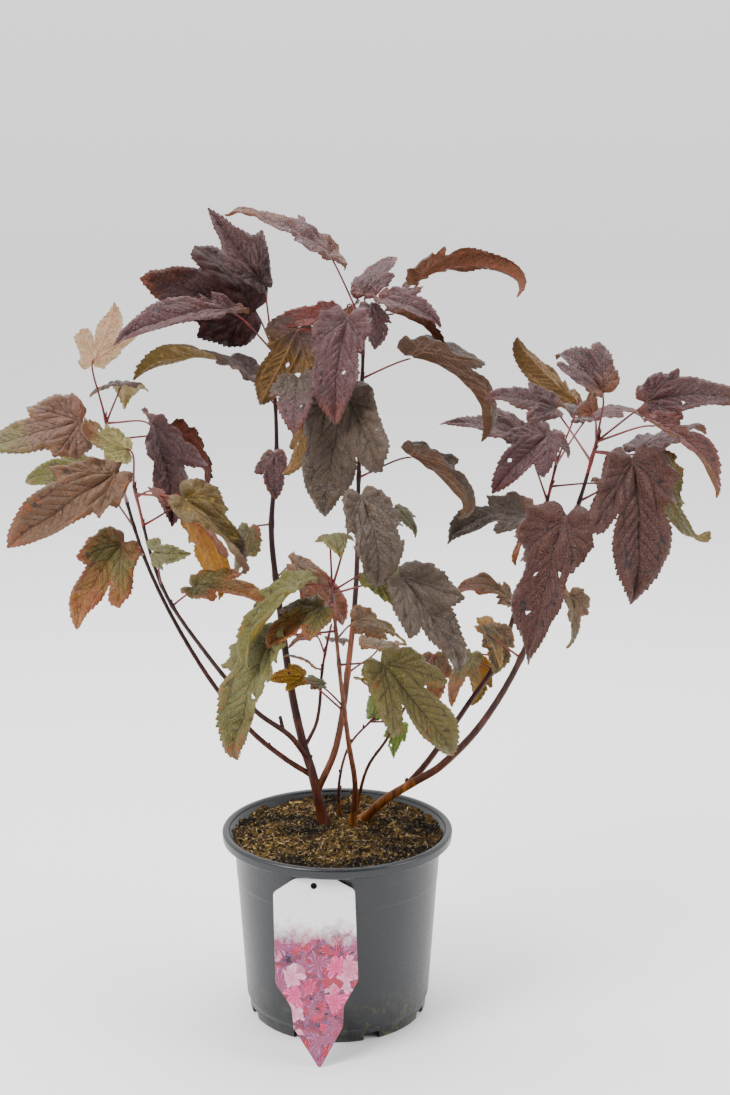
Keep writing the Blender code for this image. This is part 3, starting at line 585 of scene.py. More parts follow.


# Leaf colours as read on a screen: the upper side, its edge, its veins, the under side, its veins.
# On the upper side most veins are darker, partly in their own colour and partly as painted shade of
# the sunken veins
tints = {
    "plum": ((90, 44, 50), (102, 44, 42), (48, 18, 24), (120, 74, 34), (146, 60, 42)),
    "mauve": ((102, 58, 66), (114, 56, 52), (58, 24, 34), (130, 84, 44), (150, 68, 48)),
    "maroon": ((62, 18, 20), (68, 20, 20), (32, 8, 12), (96, 44, 24), (126, 40, 28)),
    "wine": ((92, 50, 46), (102, 56, 42), (42, 16, 20), (124, 84, 38), (156, 86, 48)),
    "wineGold": ((118, 60, 58), (130, 52, 36), (60, 24, 28), (140, 92, 36), (156, 70, 40)),
    "grey": ((92, 72, 58), (98, 70, 48), (54, 34, 30), (128, 96, 40), (156, 102, 50)),
    "moody": ((86, 66, 56), (94, 64, 40), (56, 34, 32), (98, 58, 22), (156, 92, 48)),
    "plumPale": ((84, 50, 48), (90, 50, 44), (60, 28, 34), (188, 168, 124), (190, 150, 112)),
    "pink": ((130, 78, 64), (170, 82, 62), (120, 48, 48), (166, 120, 88), (164, 76, 66)),
    "rosy": ((134, 44, 36), (142, 56, 34), (98, 30, 30), (132, 54, 38), (146, 54, 44)),
    "coral": ((176, 92, 78), (182, 102, 82), (150, 68, 60), (180, 100, 84), (168, 82, 70)),
    "blush": ((136, 98, 84), (160, 110, 70), (78, 46, 44), (166, 128, 84), (180, 118, 72)),
    "beige": ((150, 124, 96), (190, 156, 118), (156, 90, 76), (214, 188, 158), (200, 130, 118)),
    "bronze": ((94, 60, 50), (108, 58, 34), (104, 46, 32), (134, 78, 46), (160, 74, 46)),
    "olive": ((92, 68, 64), (104, 68, 44), (66, 36, 34), (138, 108, 50), (174, 132, 62)),
    "gold": ((104, 74, 44), (116, 70, 32), (92, 48, 32), (122, 84, 38), (166, 120, 60)),
    "veined": ((122, 94, 44), (132, 82, 38), (186, 156, 84), (138, 112, 56), (196, 162, 92)),
    "moss": ((118, 104, 38), (166, 92, 28), (80, 60, 24), (140, 118, 44), (178, 146, 68)),
    "sage": ((134, 128, 84), (150, 130, 74), (96, 88, 46), (168, 158, 116), (192, 178, 130)),
    "green": ((124, 118, 44), (150, 108, 34), (92, 78, 26), (158, 140, 52), (192, 158, 72)),
    # lime is partly the leaves' own lime green and partly painted light: made brighter to make up
    # for the shade these leaves lie in
    "lime": ((148, 172, 22), (164, 180, 36), (104, 124, 26), (176, 194, 48), (204, 210, 92)),
    "yellow": ((200, 158, 28), (182, 104, 24), (176, 116, 30), (216, 184, 60), (214, 158, 60)),
    "amber": ((176, 114, 32), (168, 84, 26), (130, 70, 28), (206, 150, 56), (212, 128, 52)),
    "taupe": ((128, 96, 66), (150, 94, 48), (84, 54, 42), (152, 112, 64), (172, 98, 50)),
    "rust": ((152, 84, 32), (162, 72, 22), (96, 46, 26), (160, 100, 44), (170, 84, 40)),
    "copper": ((126, 70, 40), (130, 66, 32), (84, 38, 28), (144, 86, 36), (168, 80, 44)),
    "flipped": ((112, 84, 50), (112, 80, 76), (90, 56, 36), (108, 84, 82), (84, 50, 52)),
    "russet": ((128, 92, 72), (162, 92, 40), (84, 48, 38), (150, 98, 48), (172, 90, 44)),
}
leafFinish = dict(
    parts=("Upper", "Edge", "Vein", "Under", "Rib"),
    rough=(0.4, 0.44, 0.42, 0.6, 0.5), sheen=(0.06, 0.05, 0.03, 0.06, 0.03),
    specular=dict(maroon=0.2, wine=0.38, amber=0.3, rust=0.3, yellow=0.3), shine=0.5,
    mottle=0.42, drift=0.35, dark=0.5, bright=1.45, steps=3, netShown=0.42, roughSpan=(-0.08, 0.1),
    tipFrom=0.2, tipOver=0.4, heelOver=0.3, wobble=0.5, edgeWobble=0.4, edgeSpray=0.28, edgeAt=0.5,
    veinShare=0.62, sideVeinShare=0.6, edgeBand=0.07, blotches=((5, 900, 1), (14, 500, 0.5)),
)
upperPart, edgePart, veinPart, underPart, ribPart = range(5)
leafMaterials = {}


def leafMaterial(part, tint, other, share):
    if not share or tint == other:
        other, share = tint, 0
    key = (part, tint, other, share)
    if key in leafMaterials:
        return leafMaterials[key]
    first, last = screen(*tints[tint][part]), screen(*tints[other][part])
    step = share / leafFinish["steps"]
    colour = [a + (b - a) * step for a, b in zip(first, last)]
    name = "leaf" + leafFinish["parts"][part] + tint[0].upper() + tint[1:]
    if share:
        name += f"{other[0].upper()}{other[1:]}{share}"
    rough = leafFinish["rough"][part]
    recipe = Recipe(name, colour, rough, leafFinish["sheen"][part],
                    leafFinish["specular"].get(tint, leafFinish["shine"]))
    dark = [c * leafFinish["dark"] for c in colour]
    bright = [min(c * leafFinish["bright"], 1) for c in colour]
    drift = recipe.ramp(recipe.cloud(24, 3), 0.32, 0.68)
    fine = recipe.ramp(recipe.cloud(380, 5, distortion=0.8), 0.35, 0.7)
    net = recipe.cells(560, "DISTANCE_TO_EDGE")
    base = recipe.spread(drift, colour, bright, leafFinish["drift"])
    base = recipe.spread(fine, base, dark, leafFinish["mottle"])
    if part == underPart:       # the under side shows its net of veins
        rib = screen(*tints[tint][ribPart])
        base = recipe.mixed(recipe.ramp(net, 0.1, 0.0, 0, leafFinish["netShown"]), base, rib)
    recipe.colour(base)
    recipe.rough(recipe.ramp(fine, 0, 1, *[rough + span for span in leafFinish["roughSpan"]]))
    recipe.bump(recipe.sums("ADD", recipe.ramp(net, 0, 0.3), fine), 0.4 * mm, 0.9)
    leafMaterials[key] = recipe.material
    return recipe.material


# Leaf shape: half an outline as (angle from the midrib, reach), and which of these are corners.
# Lengths are shares of the blade's, but the first line's are millimetres

leafShape = dict(
    toothSpacing=4.4, toothDepth=1.6, grid=1.9, thickness=0.28, holeRadius=(1.0, 1.7),
    outline=((0, 1.0), (4.4, 0.9), (11, 0.76), (18, 0.62), (25, 0.48), (31, 0.52), (39, 0.58),
             (51, 0.48), (68, 0.39), (94, 0.31), (130, 0.16), (180, 0.03)),
    corners=(0, 4, 6, 11), sinus=25, lobe=(28, 62), middle=(4, 19), pieces=12,
    spacingLimits=(0.042, 0.11), depthLimits=(0.013, 0.034), gridLimits=(0.026, 0.06),
    tooth=((0.0, 0.0), (0.1, 0.7), (0.24, 1.0), (0.46, 0.82), (0.6, 0.42), (0.72, 0.6),
           (0.86, 0.42)),
    toothStretch=(0.7, 1.25), firstTooth=0.45, nextTooth=0.4, lastTooth=0.8, lastSlope=4,
    holePlace=(0.35, 0.7), holeSide=(0.07, 0.13), holeStretch=(0.7, 1.3),
    waistReach=0.4, twistFrom=0.4, hookFrom=0.6, spine=(-0.3, 1.1, 281),
    gridSpan=((-0.2, 1.0), (-0.5, 0.5)), gridRow=0.866, gridReach=0.97, gridAway=(0.45, 0.5),
    mapRim=0.04, mapShare=0.92, mapShift=(0.2, 0.5), mapLength=1.25,
)
veinShape = dict(               # a vein's width is a share of the midrib's, and 0 is a side vein
    width=0.68, sideWidth=0.3, taper=0.45, step=0.035,      # the widths are millimetres
    midrib=(0.0, 0.35, 0.7, 0.985), lobe=(39, 0.56, 0.8), lobeBend=(0.18, 0.165),
    low=(78, 0.28, 0.55), lowBend=(0.02, 0),
    starts=(0.22, 0.3, 0.38, 0.46, 0.53, 0.6, 0.67, 0.74, 0.81, 0.88), stagger=0.015,
    slant=(36, 46), lobeStarts=((2, 44), (4, 42), (6, 38), (3, -38), (5, -36), (6, -32)),
    lowStarts=((3, 112), (2, 46)), stride=0.028, bend=0.985, reach=0.96, most=40,
)
reliefShape = dict(
    pucker=0.028, puckerReach=0.02, puckerEdge=0.04, ripple=0.02, ripples=(7, 12),
    fineRipple=0.6, fineRipples=19, rippleEdge=0.06, rippleFoot=0.3, swellFoot=0.25,
    swells=((3.2, 3.7, 1.4), (9, 5.1, 0.5)),
    ribHeight=0.45, ribReach=0.012, sideRib=0.45, sideRibReach=0.008,   # the height is millimetres
)
stalkShape = dict(thick=(1.7, 1.35, 0.9), bow=0.5, hook=9, hookShare=0.3, under=30, sunk=2.5,
                  pieces=14, sides=8, relief=0.12, grain=500.0, stretch=0.2,
                  footSwell=(0.5, 14), endSwell=(0.12, 9))


def leafHabit(number, wishes):  # how one leaf differs from the next
    draw = random.Random(seed + number)
    made = dict(
        fold=draw.uniform(4, 26), curl=draw.uniform(0.25, 0.9), wave=draw.uniform(0.03, 0.08),
        phase=draw.uniform(0, 2 * math.pi), left=draw.uniform(0.85, 1.12),
        right=draw.uniform(0.85, 1.12), skew=draw.uniform(-0.14, 0.14),
        twist=draw.uniform(-30, 30), hook=draw.uniform(10, 60), crumple=draw.uniform(0.014, 0.034),
        broad=draw.uniform(0.92, 1.18), sinus=draw.uniform(0.84, 1.05),
        waist=draw.uniform(0.05, 0.3), teeth=draw.uniform(0.75, 1.05),
        holes=draw.choice((0, 0, 0, 1)), tip=None, edging=0.6, heel=None, heelReach=0.3,
        fade=draw.uniform(0.35, 0.6),
    )
    made.update(wishes)
    return made


def smoothLine(points, pieces):  # a smooth line through flat points
    made = []
    for k in range(len(points) - 1):
        a, b = points[k], points[k + 1]
        before = points[k - 1] if k else a * 2 - b
        after = points[k + 2] if k + 2 < len(points) else b * 2 - a
        for step in range(pieces):
            t = step / pieces
            square = 2 * before - 5 * a + 4 * b - after
            cube = 3 * a - 3 * b + after - before
            made.append(0.5 * (2 * a + (b - before) * t + square * t * t + cube * t ** 3))
    made.append(points[-1])
    return np.array(made)


def atLength(line, spots):      # points of a line at lengths along it, with the outward normals
    steps = np.linalg.norm(np.diff(line, axis=0), axis=1)
    marks = np.concatenate([[0], np.cumsum(steps)])
    near = 0.01
    places, ahead, behind = [
        np.stack([np.interp(spots + shift, marks, line[:, k]) for k in (0, 1)], axis=1)
        for shift in (0, near, -near)]
    along = ahead - behind
    along /= np.maximum(np.linalg.norm(along, axis=1), 1e-9)[:, None]
    return places, np.stack([-along[:, 1], along[:, 0]], axis=1)


def flatWay(angle, side=1):     # a unit step at an angle from the midrib
    turn = math.radians(angle)
    return np.array((math.cos(turn), side * math.sin(turn)))


def distances(places, starts, ends):    # from each place to each straight piece of a line
    along = ends - starts
    length = np.maximum((along ** 2).sum(1), 1e-12)
    share = ((places[:, None] - starts) * along).sum(2) / length
    near = starts + np.clip(share, 0, 1)[..., None] * along
    return np.linalg.norm(places[:, None] - near, axis=2)


def wobbles(places, layers, turn):      # summed noise at flat places: (scale, depth, strength)
    return np.array([sum(noise.noise(Vector((p[0] * scale, p[1] * scale, depth * turn))) * strength
                         for scale, depth, strength in layers) for p in places])


def halfMargin(size, habit, side, draw):    # one half of a toothed margin, from tip to foot
    shape = leafShape
    joints = []
    for angle, reach in shape["outline"]:
        if angle == shape["sinus"]:
            reach *= habit["sinus"]
        if shape["lobe"][0] <= angle <= shape["lobe"][1]:
            reach *= habit[side]
        if shape["middle"][0] <= angle <= shape["middle"][1]:
            angle *= habit["broad"]
        joints.append(reach * flatWay(angle))
    made = []
    spacing = clamp(shape["toothSpacing"] * mm / size, *shape["spacingLimits"])
    depth = clamp(shape["toothDepth"] * mm / size, *shape["depthLimits"]) * habit["teeth"]
    corners = shape["corners"]
    for first, last in zip(corners, corners[1:]):
        line = smoothLine(joints[first:last + 1], shape["pieces"])
        fromApex = first != corners[1]
        if not fromApex:
            line = line[::-1]
        total = np.linalg.norm(np.diff(line, axis=0), axis=1).sum()
        count = max(1, round(total / spacing))
        spots, rises = [], []
        for k in range(count):
            stretch = draw.uniform(*shape["toothStretch"])
            fade = min(1, shape["firstTooth"] + shape["nextTooth"] * k)
            if last == corners[-1]:
                fade = clamp((shape["lastTooth"] - k / count) * shape["lastSlope"], 0, 1)
            for share, rise in shape["tooth"]:
                spots.append((k + share) / count * total)
                rises.append(rise * stretch * fade * depth)
        places, outward = atLength(line, np.array(spots))
        way = np.sign((outward * places).sum(1))
        outward *= np.where(way == 0, 1, way)[:, None]
        places = places + outward * np.array(rises)[:, None]
        made.append(places if fromApex else np.concatenate([[joints[first]], places[:0:-1]]))
    made.append([joints[-1]])
    return np.concatenate(made)


def reachOf(margin):            # how far the leaf reaches at an angle from its foot
    angles = np.arctan2(margin[:, 1], margin[:, 0])
    order = np.argsort(angles)
    turns = np.concatenate([angles[order] + lap for lap in (-2 * np.pi, 0, 2 * np.pi)])
    far = np.tile(np.linalg.norm(margin, axis=1)[order], 3)
    return lambda turn: np.interp(turn, turns, far)


def leafVeins(habit, draw, reach):      # each vein's line, with its width
    shape = veinShape
    veins = [(np.array([(x, 0.0) for x in shape["midrib"]]), 1.0)]
    for side, scale in ((1, habit["left"]), (-1, habit["right"])):
        angle, far, wide = shape["lobe"]
        tip = flatWay(angle, side) * (far * scale)
        bend = np.array(shape["lobeBend"]) * (1, side)
        veins.append((smoothLine([np.zeros(2), bend, tip], 4), wide))
        angle, far, wide = shape["low"]
        low = flatWay(angle, side) * far
        veins.append((smoothLine([np.zeros(2), low * 0.5 + shape["lowBend"], low], 3), wide))
    starts = []
    for x in shape["starts"]:
        for side in (1, -1):
            slant = side * draw.uniform(*shape["slant"])
            starts.append(((x + shape["stagger"] * side, 0.0), slant))
    for k, side in ((1, 1), (3, -1)):
        line = veins[k][0]
        slant = math.degrees(math.atan2(line[-1][1], line[-1][0]))
        starts += [(line[step], slant + side * turn) for step, turn in shape["lobeStarts"]]
    for k, side in ((2, 1), (4, -1)):
        starts += [(veins[k][0][step], side * turn) for step, turn in shape["lowStarts"]]
    for start, angle in starts:
        turn = math.radians(angle)
        place = np.array(start)
        line = [place]
        while (math.hypot(*place) < shape["reach"] * reach(math.atan2(place[1], place[0]))
               and len(line) < shape["most"]):
            turn *= shape["bend"]
            place = place + shape["stride"] * np.array((math.cos(turn), math.sin(turn)))
            line.append(place)
        if len(line) > 2:
            veins.append((np.array(line[:-1]), 0))
    return veins


def leafTemplate(number, size, habit):
    draw = random.Random(seed * 31 + number)
    left = halfMargin(size, habit, "left", draw)
    right = halfMargin(size, habit, "right", draw) * (1, -1)
    margin = np.concatenate([left, right[-2:0:-1]])
    reach = reachOf(margin)
    points = list(margin)
    edges = [(k, (k + 1) % len(margin)) for k in range(len(margin))]

    def addLine(line):
        first = len(points)
        points.extend(line)
        edges.extend((first + k, first + k + 1) for k in range(len(line) - 1))

    segments = []
    for line, wide in leafVeins(habit, draw, reach):
        steps = np.linalg.norm(np.diff(line, axis=0), axis=1).sum()
        spots = np.linspace(0, steps, max(3, round(steps / veinShape["step"])))
        width = veinShape["width"] * mm / size * wide
        if not wide:
            spots = spots[:-1]
            width = veinShape["sideWidth"] * mm / size
        places, across = atLength(line, spots)
        widths = width * np.linspace(1, veinShape["taper"], len(places))
        segments.append((places[:-1], places[1:], np.full(len(places) - 1, wide > 0)))
        addLine(places[1:] if wide else places)
        for way in (1, -1):
            addLine((places + across * way * widths[:, None])[1:-1])
    starts, ends, mains = [np.concatenate(part) for part in zip(*segments)]

    def toVeins(places):        # the distance to any vein, and to a main one
        away = distances(places, starts, ends)
        return away.min(1), np.where(mains, away, 9).min(1)

    def toMargin(places):
        return distances(places, margin, np.roll(margin, -1, axis=0)).min(1)

    shape = leafShape
    step = clamp(shape["grid"] * mm / size, *shape["gridLimits"])
    spanX, spanY = shape["gridSpan"]
    gridX, gridY = np.meshgrid(np.arange(*spanX, step), np.arange(*spanY, step * shape["gridRow"]))
    gridX = gridX + (np.arange(gridX.shape[0]) % 2)[:, None] * step / 2
    grid = np.stack([gridX.ravel(), gridY.ravel()], axis=1)
    turns = np.arctan2(grid[:, 1], grid[:, 0])
    grid = grid[np.linalg.norm(grid, axis=1) < shape["gridReach"] * reach(turns)]
    fromVein, fromMargin = [step * share for share in shape["gridAway"]]
    grid = grid[(toVeins(grid)[0] > fromVein) & (toMargin(grid) > fromMargin)]
    points.extend(grid)
    flat, _, faces, _, _, _ = delaunay_2d_cdt([Vector(p) for p in points], edges, [], 1, 1e-5)
    flat = np.array([tuple(p) for p in flat])
    faces = np.array([f for f in faces if len(f) == 3])
    a, b, c = [flat[faces[:, k]] for k in range(3)]
    twice = (b[:, 0] - a[:, 0]) * (c[:, 1] - a[:, 1]) - (b[:, 1] - a[:, 1]) * (c[:, 0] - a[:, 0])
    faces[twice < 0] = faces[twice < 0][:, ::-1]        # all turn the same way
    faces = faces[np.abs(twice) > 1e-9]
    for _ in range(habit["holes"]):         # a small hole that an insect left
        along = draw.uniform(*shape["holePlace"])
        spot = np.array((along, draw.choice((-1, 1)) * draw.uniform(*shape["holeSide"])))
        stretch = (1, draw.uniform(*shape["holeStretch"]))
        away = np.linalg.norm((flat[faces].mean(1) - spot) * stretch, axis=1)
        faces = faces[away > draw.uniform(*shape["holeRadius"]) * mm / size]
    sides = np.concatenate([faces[:, [0, 1]], faces[:, [1, 2]], faces[:, [2, 0]]])
    _, index, counts = np.unique(np.sort(sides, axis=1), axis=0, return_index=True,
                                 return_counts=True)
    vein, mainVein = toVeins(flat)
    return dict(flat=flat, faces=faces, border=sides[index[counts == 1]], vein=vein,
                mainVein=mainVein, edge=toMargin(flat))


def bladeRelief(template, habit, number, size, draw):   # the blade's swells, and the ribs below
    shape = reliefShape
    flat, vein, main, edge = [template[k] for k in ("flat", "vein", "mainVein", "edge")]
    out = np.hypot(*flat.T)
    turn = np.arctan2(flat[:, 1], flat[:, 0])
    phase = draw.uniform(0, 6.28)
    pucker = shape["pucker"] * (1 - np.exp(-(vein / shape["puckerReach"]) ** 2))
    pucker *= np.minimum(edge / shape["puckerEdge"], 1)
    ripple = shape["ripple"] * np.sin(draw.integers(*shape["ripples"]) * turn + phase)
    ripple += (shape["ripple"] * shape["fineRipple"]
               * np.sin(shape["fineRipples"] * turn + 2 * phase))
    ripple *= np.exp(-(edge / shape["rippleEdge"]) ** 2) * np.minimum(out / shape["rippleFoot"], 1)
    swell = wobbles(flat, shape["swells"], number)
    swell *= habit["crumple"] * np.minimum(out / shape["swellFoot"], 1)
    high = shape["ribHeight"] * mm / size
    ribs = high * np.exp(-(main / shape["ribReach"]) ** 2)
    ribs += shape["sideRib"] * high * np.exp(-(vein / shape["sideRibReach"]) ** 2)
    return pucker + ripple + swell, ribs


def bladePoints(template, arch, habit, lift, relief):
    shape = leafShape
    along, across = template["flat"].T      # X along the chord, Y across, Z to the upper side
    ahead = np.maximum(along, 0)
    across = across * (1 - habit["waist"] * np.clip(1 - along / shape["waistReach"], 0, 1))
    half = np.abs(across)
    fold = math.radians(habit["fold"])
    turn = np.arctan2(across, along)
    rise = half * math.sin(fold) - habit["curl"] * half ** 2 + relief + lift
    rise += habit["wave"] * np.sin(3 * turn + habit["phase"]) * np.hypot(along, across)
    twist = math.radians(habit["twist"]) * (ahead - shape["twistFrom"])
    side = across * math.cos(fold)
    side, rise = (side * np.cos(twist) - rise * np.sin(twist),
                  side * np.sin(twist) + rise * np.cos(twist))
    side = side + habit["skew"] * ahead ** 2
    marks = np.linspace(*shape["spine"])
    bend, hook = math.radians(arch), math.radians(habit["hook"])
    late = np.maximum(marks - shape["hookFrom"], 0) / (1 - shape["hookFrom"])
    slopes = bend / 2 - bend * np.maximum(marks, 0) - hook * late ** 2
    slope = np.interp(along, marks, slopes)
    stride = marks[1] - marks[0]
    spines = [np.cumsum(way(slopes)) * stride for way in (np.cos, np.sin)]
    x, z = [np.interp(along, marks, spine) - np.interp(0, marks, spine) for spine in spines]
    return np.stack([x - np.sin(slope) * rise, side, z + np.cos(slope) * rise], axis=1)


def leafFrame(base, bearing, pitch, roll):
    along = heading(bearing, pitch)
    upper = heading(bearing, pitch + 90)
    across = upper.cross(along)
    turned = Matrix((along, across, upper)).transposed().to_4x4()
    return Matrix.Translation(base) @ turned @ Matrix.Rotation(math.radians(roll), 4, "X")


class LeafHeap:                 # collects many leaves into one mesh
    def __init__(self, name, count):
        self.name, self.points, self.faces, self.slots, self.maps = name, [], [], [], []
        self.materials, self.total, self.made = [], 0, 0
        self.cells = math.ceil(math.sqrt(2 * count))

    def slot(self, material):
        if material not in self.materials:
            self.materials.append(material)
        return self.materials.index(material)

    def cell(self, flat):       # the leaf's own square of the map
        column, row = self.made % self.cells, self.made // self.cells
        self.made += 1
        rim, share = leafShape["mapRim"], leafShape["mapShare"]
        x, y = (flat + leafShape["mapShift"]).T
        u = (column + rim + share * x / leafShape["mapLength"]) / self.cells
        return np.stack([u, (row + rim + share * y) / self.cells], axis=1)

    def add(self, row, number, start):
        _, bearing, rise, stalk, bladeBearing, pitch, length, roll, arch, tint = row[:10]
        size = length * mm
        base = start + heading(bearing, rise) * stalk * mm
        place = leafFrame(base, bladeBearing, pitch, roll)
        turned = np.array(place.to_3x3()) * size
        habit = leafHabit(number, row[10] if len(row) > 10 else {})
        template = leafTemplate(number, size, habit)
        draw = np.random.default_rng(seed * 57 + number)
        relief, ribs = bladeRelief(template, habit, number, size, draw)
        half = leafShape["thickness"] * mm / size / 2
        for lift, form in ((half, relief), (-half, relief - ribs)):
            made = bladePoints(template, arch, habit, lift, form)
            self.points.append(made @ turned.T + np.array(place.translation))
        flat, faces = template["flat"], template["faces"]
        count = len(flat)
        a, b = template["border"].T
        strip = np.concatenate([np.stack([b, a, a + count], 1),
                                np.stack([b, a + count, b + count], 1)])
        topMap, lowMap = self.cell(flat), self.cell(flat)
        self.faces += [faces + self.total, faces[:, ::-1] + count + self.total, strip + self.total]
        self.dress(tint, habit, template, size, draw, len(strip))
        self.maps += [topMap[faces], lowMap[faces][:, ::-1], topMap[strip % count]]
        self.total += 2 * count

    def dress(self, tint, habit, template, size, draw, strips):     # deals the colours out by face
        finish = leafFinish
        faces = template["faces"]
        centre, vein, main, edge = [template[k][faces].mean(1)
                                    for k in ("flat", "vein", "mainVein", "edge")]
        along = centre[:, 0]
        wobble = wobbles(centre, finish["blotches"], size)
        toTip = np.clip((along - habit["fade"] + finish["tipFrom"]) / finish["tipOver"]
                        + wobble * finish["wobble"], 0, 1)
        toHeel = np.clip((habit["heelReach"] - along) / finish["heelOver"]
                         + wobble * finish["wobble"], 0, 1)
        toHeel = toHeel * (toHeel > toTip) if habit["heel"] else toTip * 0
        blend = np.maximum(toTip, toHeel) * finish["steps"] + draw.uniform(0, 1, len(faces))
        levels = np.minimum(np.floor(blend), finish["steps"])
        zones = np.where(toHeel > 0, 1, 0)
        fromEdge = np.exp(-edge / finish["edgeBand"]) * habit["edging"]
        fromEdge += wobble * finish["edgeWobble"]
        spray = draw.uniform(-finish["edgeSpray"], finish["edgeSpray"], len(faces))
        nearEdge = fromEdge + spray > finish["edgeAt"]
        nearVein = main < veinShape["width"] * mm / size * finish["veinShare"]
        nearVein |= vein < veinShape["sideWidth"] * mm / size * finish["sideVeinShare"]
        # upper-side veins take the vein colour, darker partly in their own colour and partly as
        # painted shade of the sunken veins
        uppers = np.where(nearVein, veinPart, np.where(nearEdge, edgePart, upperPart))
        unders = np.where(nearVein, ribPart, underPart)
        for wanted in (uppers, unders):
            made = np.zeros(len(faces), int)
            for part in np.unique(wanted):
                for level in np.unique(levels):
                    for zone in np.unique(zones):
                        faced = (wanted == part) & (levels == level) & (zones == zone)
                        if faced.any():
                            other = (habit["tip"], habit["heel"])[zone] or tint
                            made[faced] = self.slot(leafMaterial(int(part), tint, other,
                                                                 int(level)))
            self.slots.append(made)
        self.slots.append(np.full(strips, self.slot(leafMaterial(edgePart, tint, tint, 0))))

    def finish(self):
        mesh = plainMesh(self.name, np.concatenate(self.points).tolist(),
                         np.concatenate(self.faces).tolist())
        for material in self.materials:
            mesh.materials.append(material)
        mesh.polygons.foreach_set("material_index", np.concatenate(self.slots).astype(np.int32))
        layer = mesh.uv_layers.new(name="OFBake")
        layer.uv.foreach_set("vector", np.concatenate(self.maps).reshape(-1).astype(np.float32))
        smoothOver(mesh, 100)
        return addObject(self.name, mesh)


# Tubes that follow a path: stalks and stems share one tree of Geometry Nodes

class ShapeTree(Nodes):         # a tree of Geometry Nodes with named inputs
    def __init__(self, name, **inputs):
        super().__init__(bpy.data.node_groups.new(name, "GeometryNodeTree"))
        sockets = self.tree.interface
        for label, kind in dict(Geometry="Geometry", **inputs).items():
            sockets.new_socket(label, in_out="INPUT", socket_type="NodeSocket" + kind)
        sockets.new_socket("Geometry", in_out="OUTPUT", socket_type="NodeSocketGeometry")
        self.given = self.node("NodeGroupInput").outputs

    def close(self, geometry):
        real = self.node("GeometryNodeRealizeInstances", geometry).outputs[0]
        finish = self.node("GeometryNodeSetMaterial", Geometry=real,
                           Material=self.given["Material"])
        self.node("NodeGroupOutput", finish.outputs[0])
        return self.tree


def runTree(thing, tree, values):       # keeps what a tree makes of an object, as a plain mesh
    modifier = thing.modifiers.new("shape", "NODES")
    modifier.node_group = tree
    for item in tree.interface.items_tree:
        if item.item_type == "SOCKET" and item.in_out == "INPUT" and item.name in values:
            modifier[item.identifier] = values[item.name]
    mesh = shapeOf(thing)
    name = thing.name
    bpy.data.objects.remove(thing)
    mesh.name = name
    return addObject(name, mesh)


def sweepTree():
    tree = ShapeTree("sweep", Sides="Int", Relief="Float", Grain="Float", Stretch="Float",
                     Material="Material")
    given = tree.given
    ring = tree.node("GeometryNodeCurvePrimitiveCircle", Resolution=given["Sides"], Radius=1)
    thick = tree.node("GeometryNodeInputRadius").outputs["Radius"]
    sweep = tree.node("GeometryNodeCurveToMesh", Curve=given["Geometry"],
                      Profile_Curve=ring.outputs["Curve"], Scale=thick, Fill_Caps=True)
    place = tree.node("GeometryNodeInputPosition").outputs["Position"]
    squeeze = tree.node("ShaderNodeCombineXYZ", 1, 1, given["Stretch"]).outputs["Vector"]
    cloud = tree.node("ShaderNodeTexNoise", Vector=tree.vectors("MULTIPLY", place, squeeze),
                      Scale=given["Grain"], Detail=4)
    centred = tree.sums("SUBTRACT", cloud.outputs["Fac"], 0.5)
    normal = tree.node("GeometryNodeInputNormal").outputs["Normal"]
    offset = tree.vectors("SCALE", normal, Scale=tree.sums("MULTIPLY", centred, given["Relief"]))
    move = tree.node("GeometryNodeSetPosition", Geometry=sweep.outputs["Mesh"], Offset=offset)
    return tree.close(tree.node("GeometryNodeSetShadeSmooth", move.outputs["Geometry"]).outputs[0])


sweep = sweepTree()


def swept(name, paths, shape, material):        # one tube for each path of (points, radii)
    curve = bpy.data.curves.new(name, "CURVE")
    curve.dimensions = "3D"
    for points, radii in paths:
        spline = curve.splines.new("POLY")
        spline.points.add(len(points) - 1)
        for knot, place, radius in zip(spline.points, points, radii):
            knot.co = (*place, 1)
            knot.radius = radius
    return runTree(addObject(name, curve), sweep, {
        "Sides": shape["sides"], "Relief": shape["relief"] * mm, "Grain": shape["grain"],
        "Stretch": shape["stretch"], "Material": material})


def stalkPath(row, start):
    _, bearing, slope, stalk, bladeBearing, pitch, _, roll, arch, _ = row[:10]
    shape = stalkShape
    out = heading(bearing, slope)
    base = start + out * stalk * mm
    place = leafFrame(base, bladeBearing, pitch, roll)
    tilt = Matrix.Rotation(-math.radians(arch / 2 + shape["under"]), 4, "Y")
    hook = min(shape["hook"] * mm, stalk * mm * shape["hookShare"])
    last = (place @ tilt).col[0].to_3d()
    foot = Vector((shape["sunk"] * mm * math.cos(math.radians(arch / 2)), 0,
                   -leafShape["thickness"] * mm))
    points = interpolate_bezier(start, start + out * stalk * mm * shape["bow"], base - last * hook,
                                place @ foot, shape["pieces"] + 1)
    thick, thin, end = [t * mm / 2 for t in shape["thick"]]
    (rise, fall), (lift, near) = shape["footSwell"], shape["endSwell"]
    radii = []
    for k in range(len(points)):        # swells a little at both ends
        share = k / shape["pieces"]
        radius = thick + (thin - thick) * share
        radius *= 1 + rise * math.exp(-share * fall) + lift * math.exp(-((1 - share) * near) ** 2)
        radii.append(radius if k < len(points) - 1 else end)
    return points, radii


stalkInk = dict(bright=(158, 50, 56), dark=(96, 24, 34), rough=0.38)


def stalkMaterial():
    bright, dark = screen(*stalkInk["bright"]), screen(*stalkInk["dark"])
    recipe = Recipe("stalkSkin", bright, stalkInk["rough"])
    recipe.colour(recipe.mixed(recipe.ramp(recipe.cloud(60, 3), 0.35, 0.65), bright, dark))
    recipe.bump(recipe.cloud(900, 3, recipe.stretched((1, 1, 0.15))), 0.1 * mm, 0.6)
    return recipe.material


